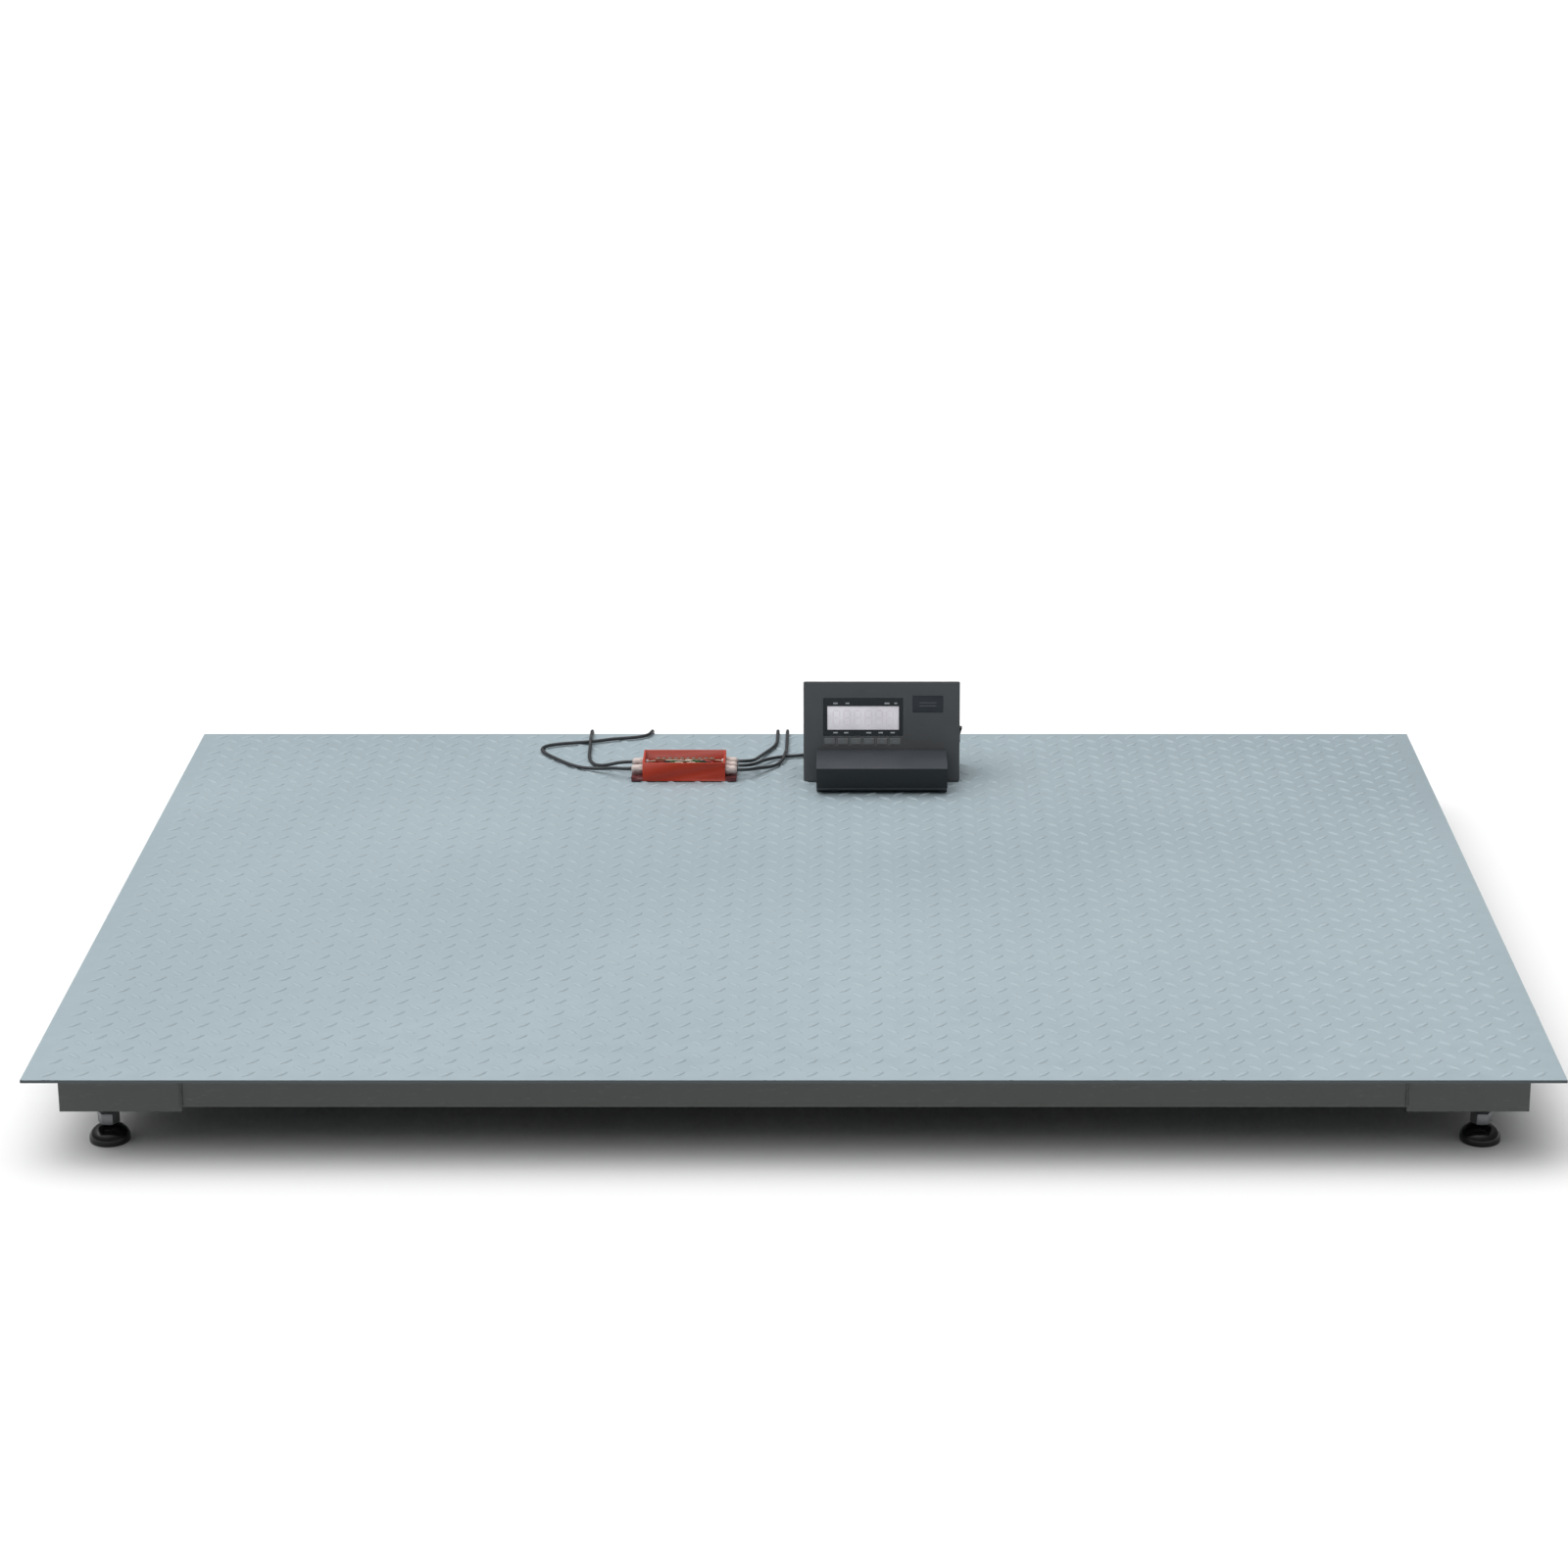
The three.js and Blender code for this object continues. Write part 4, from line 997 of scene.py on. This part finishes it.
back_low, back_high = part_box("indicator_rear_case")
screw_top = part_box("battery_door")[1].z - 4 * MM  # the back slopes away above the door
spots = bpy.data.meshes.new("rear_screws")
spots.from_pydata([
    (x, back_high.y, z)
    for x in (back_low.x + SCREW_INSET, back_high.x - SCREW_INSET)
    for z in (back_low.z + SCREW_INSET, screw_top)
], [], [])
screw = bpy.data.objects.new("screw_pattern", screw_head())
screws_mesh = run_tree(spots, screw_tree(), {"Screw": screw, "Steel": zinc_steel})
add_piece("rear_screws", screws_mesh, "platform", "zinc_steel", [])
print("rear screws made")

# %% [markdown]
# ## The display
# A liquid crystal display is a pale sheet behind a dark printed window. Its unlit digits show as faint
# ghosts. Print has almost no thickness, so each mark is a very thin slab that stands on the surface below
# it, and the window is four slabs round an opening. The sheet has a weak glow, as a backlight gives.

# %% The display
DISPLAY_WIDTH = 114 * MM
DISPLAY_HEIGHT = 38.5 * MM
DISPLAY_DROP = -1.5 * MM  # from the window's middle
SHEET = 1.2 * MM
DIGIT_COUNT = 6
# Millimetres across and up from the window's middle: place, then half width.
MARKS = [
    (-44, 22.5, 3.5), (-25, 22.5, 3), (38, 22.5, 4), (52, 22.5, 2.5), (-44, -25.5, 3.5),
    (-27, -25.5, 3.5), (9, -25.5, 4), (28, -25.5, 3.5), (47, -25.5, 3.5),
]


def window_print():
    """The dark printed surround: a thin sheet with an opening for the display, and a few pale marks."""
    low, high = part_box("display_window")
    width = high.x - low.x
    height = (high.z - low.z) / FACE_UP.z - SHEET * FACE_UP.y
    side = (width - DISPLAY_WIDTH) / 2
    parts = []
    for sign in (-1, 1):
        rim = (height - DISPLAY_HEIGHT) / 2 - sign * DISPLAY_DROP
        place = face_place("display_window", up=sign * (height - rim) / 2)
        parts.append((0, plate(width, rim, SHEET, place)))
        place = face_place("display_window", across=sign * (width - side) / 2, up=DISPLAY_DROP)
        parts.append((0, plate(side, DISPLAY_HEIGHT, SHEET, place)))
    for x, up, half_width in MARKS:
        place = face_place("display_window", -0.64 * MM, x * MM, up * MM)
        parts.append((1, plate(2 * half_width * MM, 2.4 * MM, 0.1 * MM, place)))
    return mesh_of(join(*parts), "window_print")


def segments():
    """Ghosts of unlit digits: seven slim bars for each digit."""
    bars = []
    for digit in range(DIGIT_COUNT):
        x = (digit - (DIGIT_COUNT - 1) / 2) * 17
        for up in (-12, 0, 12):
            bars.append((8, 1.8, x, up))
        for side in (-5.2, 5.2):
            for up in (-6, 6):
                bars.append((1.8, 9, x + side, up))
    return [
        plate(w * MM, h * MM, 0.06 * MM,
              face_place("display_module", -6.02 * MM, x * MM, up * MM + DISPLAY_DROP))
        for w, h, x, up in bars
    ]


def display():
    """The display module with its pale glass standing in the window's opening."""
    place = face_place("display_module", -5 * MM, up=DISPLAY_DROP)
    glass = plate(DISPLAY_WIDTH + 5 * MM, DISPLAY_HEIGHT + 5 * MM, 2 * MM, place, 0.2 * MM)
    ghosts = [(2, bar) for bar in segments()]
    return mesh_of(join((1, glass), (0, whole_faces("display_module")), *ghosts), "display_panel")


add_piece("window_surround", window_print(), "platform", "window", [window_black, mark_white],
          "display_window")
add_piece("display_panel", display(), "platform", "display", [black_plastic, lcd_pale, lcd_ghost],
          "display_module")
print("display:", DIGIT_COUNT, "digits and", len(MARKS), "marks")

# %% [markdown]
# ## Keys and label
# Every key is a separate moulding that moves on its own joint, so each rides on its own body. The sticker
# beside the window is a thin slab in a shallow recess, with two printed lines.

# %% Keys and label
def key_cap(node):
    """A key with rounded edges and a short pale bar printed on it."""
    cap = bevelled(whole_faces(node), 0.5 * MM)
    bar = plate(5 * MM, 0.9 * MM, 0.08 * MM, face_place(node, -7.02 * MM))
    return mesh_of(join((0, cap), (1, bar)), node + "_cap", 50)


for number in range(1, 7):
    node = f"key_{number}"
    cap = flat_shaded(key_cap(node))
    add_piece(node + "_cap", cap, node, "key_plastic", [key_plastic, key_print], node)

LABEL_ACROSS = 103 * MM  # from the window's middle
LABEL_UP = 21 * MM


def rating_label():
    """A small dark sticker in its recess, with two faint lines on it."""
    place = face_place("display_window", -0.75 * MM, LABEL_ACROSS, LABEL_UP)
    parts = [(0, plate(48 * MM, 27 * MM, 0.5 * MM, place, 0.15 * MM))]
    for up in (2.5, -2.5):
        place = face_place("display_window", -1.02 * MM, LABEL_ACROSS, LABEL_UP + up * MM)
        parts.append((1, plate(27 * MM, 1 * MM, 0.08 * MM, place)))
    return mesh_of(join(*parts), "rating_label")


add_piece("rating_label", rating_label(), "platform", "window", [label_grey, label_print])
print("six keys and a label")

# %% [markdown]
# ## The signal plug
# The cable from the junction box ends in a round plug at the indicator's back: a ridged nut to grip, and
# a taper that spares the cable a sharp bend.

# %% The signal plug
def plug():
    """A round plug in one metal, with a knurled nut and a tapered end."""
    low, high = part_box("signal_plug")
    centre = (low + high) / 2
    place = Matrix.Translation((centre.x, low.y, centre.z)) @ Matrix.Rotation(-math.pi / 2, 4, "X")
    long = high.y - low.y
    ridged = [(7 * MM - (i % 2) * 0.5 * MM, 7 * MM + i * 0.8 * MM) for i in range(12)]
    profile = [(0, 0), (4.5 * MM, 0), (4.5 * MM, 6.3 * MM), (6.6 * MM, 6.4 * MM), *ridged,
               (6.4 * MM, 17 * MM), (5.6 * MM, 19 * MM), (4.6 * MM, 22 * MM), (4.2 * MM, long), (0, long)]
    return mesh_of(turned(profile, place, 36), "plug_body", 30)


plug_body = add_piece("plug_body", plug(), "platform", "black_plastic", [zinc_steel], "signal_plug")
print("plug made")

# %% Every cable's length and ends
for name, (sheath, line) in cables.items():
    length = sum((b - a).length for a, b in zip(line, line[1:]))
    plugs = [plug_body] if name == "signal_cable" else []
    print(name, round(length, 2), "m")

# %% [markdown]
# ## The junction box
# The box is a moulded orange tray, and its two ears carry a darker red as painted shade. Its lid is off, so
# the terminal board shows. The imported tray is one solid, so it is cut at the ears, and the ears get the
# painted shade.

# %% Tray and ears
box_low, box_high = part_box("junction_box")
GLANDS = {
    "gland_rear_left": -1, "gland_front_left": -1, "gland_rear_right": 1, "gland_signal": 1,
    "gland_front_right": 1,
}
EAR = 18 * MM


def box_tray():
    """The tray, cut where its ears begin so that the ears can take their painted shade, then bevelled."""
    bm = whole_faces("junction_box")
    for x in (box_low.x + EAR, box_high.x - EAR):
        everything = [*bm.verts, *bm.edges, *bm.faces]
        bmesh.ops.bisect_plane(bm, geom=everything, plane_co=(x, 0, 0), plane_no=(1, 0, 0))
    return flat_shaded(mesh_of(bevelled(bm, 0.8 * MM, crease=60), "box_tray", 50))


tray_mesh = box_tray()
add_piece("box_tray", tray_mesh, "platform", "box_orange", [box_orange, box_ear_red], "junction_box")
# The ears take the darker red: painted shade.
for face in tray_mesh.polygons:
    if min(face.center.x - box_low.x, box_high.x - face.center.x) < EAR:
        face.material_index = 1
print("tray:", len(tray_mesh.polygons), "faces")

# %% [markdown]
# ## The terminal board
# On a small circuit board stand two rows of screw terminals, which join the four load cells' wires. The
# terminals repeat, so Geometry Nodes set the same cell at every pitch of a two-row grid, and the screws'
# faces then take the bright metal.

# %% Terminal board
TERMINALS = 10
TERMINAL_PITCH = 9.6 * MM


def one_terminal():
    """One cell of a terminal strip: a moulded block with a slotted screw sunk in its top."""
    body = bevelled(block((-4.5 * MM, -6 * MM, 0), (4.5 * MM, 6 * MM, 10 * MM)), 0.5 * MM)
    head = turned([(0, 9.8 * MM), (2.6 * MM, 9.8 * MM), (2.6 * MM, 10.5 * MM), (2.2 * MM, 10.8 * MM),
                   (0, 10.8 * MM)], sides=12)
    return mesh_of(join((0, body), (1, head)), "terminal_cell", 40)


def terminal_tree():
    graph = new_tree("terminal_rows", {
        "Cell": "Object", "Count": "Int", "Pitch": "Float", "Rows": "Float", "Foot": "Vector",
        "Plastic": "Material"})
    shape = shape_of(graph, "Cell")
    grid = graph.node("GeometryNodeMeshGrid", {
        "Size X": (graph["Count"] - 1) * graph["Pitch"], "Size Y": graph["Rows"],
        "Vertices X": graph["Count"], "Vertices Y": 2})
    cells = graph.node("GeometryNodeInstanceOnPoints", {"Points": grid, "Instance": shape})
    moved = graph.node("GeometryNodeTransform", {
        "Geometry": cells, "Translation": graph["Foot"]})
    return end_tree(graph, joined(graph, graph["Geometry"], moved), graph["Plastic"])


board_low, board_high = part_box("terminal_board")
board_top = board_low.z + 8 * MM


def terminal_plate():
    """The circuit board on its four legs."""
    low = (board_low.x, board_low.y, board_top - 1.6 * MM)
    parts = [(0, bevelled(block(low, (board_high.x, board_high.y, board_top)), 0.3 * MM))]
    leg = [(0, board_low.z), (3 * MM, board_low.z), (3 * MM, board_top - 1 * MM), (0, board_top - 1 * MM)]
    for x in (board_low.x + 5 * MM, board_high.x - 5 * MM):
        for y in (board_low.y + 5 * MM, board_high.y - 5 * MM):
            parts.append((0, turned(leg, Matrix.Translation((x, y, 0)), 16)))
    return mesh_of(join(*parts), "terminal_plate")


middle = (board_low + board_high) / 2
cell = bpy.data.objects.new("terminal_pattern", one_terminal())
rows_mesh = run_tree(bpy.data.meshes.new("terminal_rows"), terminal_tree(), {
    "Cell": cell, "Count": TERMINALS, "Pitch": TERMINAL_PITCH, "Rows": 38 * MM,
    "Foot": Vector((middle.x, middle.y, board_top)), "Plastic": terminal_brown})
add_piece("terminal_plate", terminal_plate(), "platform", "board", [board_green], "terminal_board")
add_piece("terminal_rows", rows_mesh, "platform", "gland_pale", [zinc_steel])
screws = rows_mesh.materials.find(zinc_steel.name)
for face in rows_mesh.polygons:
    if face.center.z > board_top + 10.1 * MM:
        face.material_index = screws
print("terminals:", 2 * TERMINALS)

# %% [markdown]
# ## Wires in the box
# Inside the box each cable's sheath is cut back and its four thin wires fan out to the terminals. They
# are drawn as lines of a few points, and Geometry Nodes give every line the same round section.

# %% Thin wires
WIRE_RADIUS = 0.8 * MM
WIRE_COLOURS = {
    "red": srgb(168, 36, 30), "black": srgb(40, 38, 38), "green": srgb(58, 112, 66),
    "white": srgb(232, 222, 206),
}


def wire_tree():
    graph = new_tree("round_wires", {"Radius": "Float", "Sides": "Int", "Sheath": "Material"})
    line = graph.node("GeometryNodeMeshToCurve", {"Mesh": graph["Geometry"]})
    circle = graph.node("GeometryNodeCurvePrimitiveCircle", {
        "Resolution": graph["Sides"], "Radius": graph["Radius"]}, mode="RADIUS")
    tube = graph.node("GeometryNodeCurveToMesh", {
        "Curve": line, "Profile Curve": circle, "Fill Caps": True})
    return end_tree(graph, tube, graph["Sheath"])


def wire_lines(number):
    """The lines of one colour's wires: out of the five glands, up and over to a terminal's screw."""
    mesh = bpy.data.meshes.new("box_wires")
    points, edges = [], []
    for place, (node, end) in enumerate(GLANDS.items()):
        low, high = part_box(node)
        y, z = (low.y + high.y) / 2, (low.z + high.z) / 2
        x = (low.x if end > 0 else high.x) + end * 2 * MM
        target_x = middle.x + end * (30 * MM - TERMINAL_PITCH * number)
        row = 12 * MM if y > middle.y else -12 * MM
        offset = (number - 1.5) * 1.7 * MM
        route = [(x, y + offset / 2, z), (x - end * 9 * MM, y + offset, z + 1 * MM),
                 (target_x + end * 12 * MM, middle.y + row * 0.4 + offset, z + 6 * MM),
                 (target_x, middle.y + row * 0.7, z + (5 + place % 2) * MM),
                 (target_x, middle.y + row, board_top + 6 * MM)]
        line = smooth_line([Vector(point) for point in route], steps=5)
        first = len(points)
        points += line
        edges += [(i, i + 1) for i in range(first, len(points) - 1)]
    mesh.from_pydata(points, edges, [])
    return mesh


round_wires = wire_tree()
for number, (name, colour) in enumerate(WIRE_COLOURS.items()):
    sheath = plastic("wire_" + name, colour, 0.45, depth=0)
    wires = run_tree(wire_lines(number), round_wires, {
        "Radius": WIRE_RADIUS, "Sides": 8, "Sheath": sheath})
    add_piece("box_wires_" + name, flat_shaded(wires), "platform", "cable", [])
print(len(WIRE_COLOURS) * len(GLANDS), "wires")

# %% [markdown]
# ## Cable glands
# A gland clamps each cable where it enters the box, and keeps rain out. It has a hexagon for a spanner, a
# domed nut and a rubber seal. Body and seal are spun profiles, and the hexagon is a six-sided prism.

# %% Glands
def gland(node, end):
    """A nylon gland: thread, hexagon, fluted dome nut and a black seal round the cable."""
    low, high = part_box(node)
    centre = (low + high) / 2
    start = low.x if end > 0 else high.x
    place = Matrix.Translation((start, centre.y, centre.z)) @ Matrix.Rotation(end * math.pi / 2, 4, "Y")
    long = high.x - low.x
    dome = [(6.5 * MM * math.cos(a), long - 7 * MM + 6.4 * MM * math.sin(a))
            for a in [math.radians(72 * i / 8) for i in range(9)]]
    body = turned([(0, 0), (4.2 * MM, 0), (4.2 * MM, 7.2 * MM), (6.5 * MM, 7.4 * MM), *dome,
                   (3.2 * MM, long - 0.3 * MM), (0, long - 0.3 * MM)], place, 36)
    nut = bmesh.new()
    bmesh.ops.create_cone(nut, cap_ends=True, segments=6, radius1=7.5 * MM, radius2=7.5 * MM, depth=6 * MM,
                          matrix=place @ Matrix.Translation((0, 0, 10.4 * MM)))
    bevelled(nut, 0.7 * MM)
    seal = turned([(0, long - 1 * MM), (3.6 * MM, long - 1 * MM), (3.6 * MM, long - 0.2 * MM),
                   (3 * MM, long), (0, long)], place, 24)
    return mesh_of(join((0, body), (0, nut), (1, seal)), node + "_body", 40)


for node, end in GLANDS.items():
    add_piece(node + "_body", gland(node, end), "platform", "gland_pale", [gland_pale, seal_black], node)
print(len(GLANDS), "glands")

# %% [markdown]
# ## Floor and light
# A pale floor and a large soft light overhead leave the colours as they are. The sky is brightest
# overhead and dim near the horizon, as under a studio's ceiling softbox, so upright faces stay darker
# than the deck and the space under the platform falls into shadow. A broad weak sun from the left gives
# the lugs and edges their modelling, and a soft shadow to the right of the indicator.

# %% Floor, sky and sun
FLOOR_HALF = 30
corners = [(-FLOOR_HALF, -FLOOR_HALF, 0), (FLOOR_HALF, -FLOOR_HALF, 0), (FLOOR_HALF, FLOOR_HALF, 0),
           (-FLOOR_HALF, FLOOR_HALF, 0)]
floor_mesh = bpy.data.meshes.new("floor")
floor_mesh.from_pydata(corners, [], [(0, 1, 2, 3)])
floor_mesh.materials.append(Finish("floor_white", srgb(240, 240, 240), Roughness=0.9).material)
placed("floor", floor_mesh)

world = bpy.data.worlds.new("studio")
world.use_nodes = True
sky = Graph(world.node_tree)
direction = sky.node("ShaderNodeTexCoord", out="Object")
OVERHEAD = Vector((-0.18, 0.05, 1)).normalized()
HORIZON_STRENGTH = 0.14
OVERHEAD_STRENGTH = 3
rise = sky.node("ShaderNodeVectorMath", {0: direction, 1: OVERHEAD}, out="Value", operation="DOT_PRODUCT")
rise = rise.math("MAXIMUM", rise, 0)
strength = HORIZON_STRENGTH + OVERHEAD_STRENGTH * rise * rise * rise * rise
background = world.node_tree.nodes["Background"]
sky.fill(background.inputs["Strength"], strength)
background.inputs["Color"].default_value = (1, 1, 1, 1)
bpy.context.scene.world = world

sun = placed("soft_sun", bpy.data.lights.new("soft_sun", "SUN"))
sun.data.energy = 0.5
sun.data.angle = math.radians(50)
sun.rotation_euler = Vector((0.6, 0.15, -1)).to_track_quat("-Z", "Y").to_euler()
print("lit")
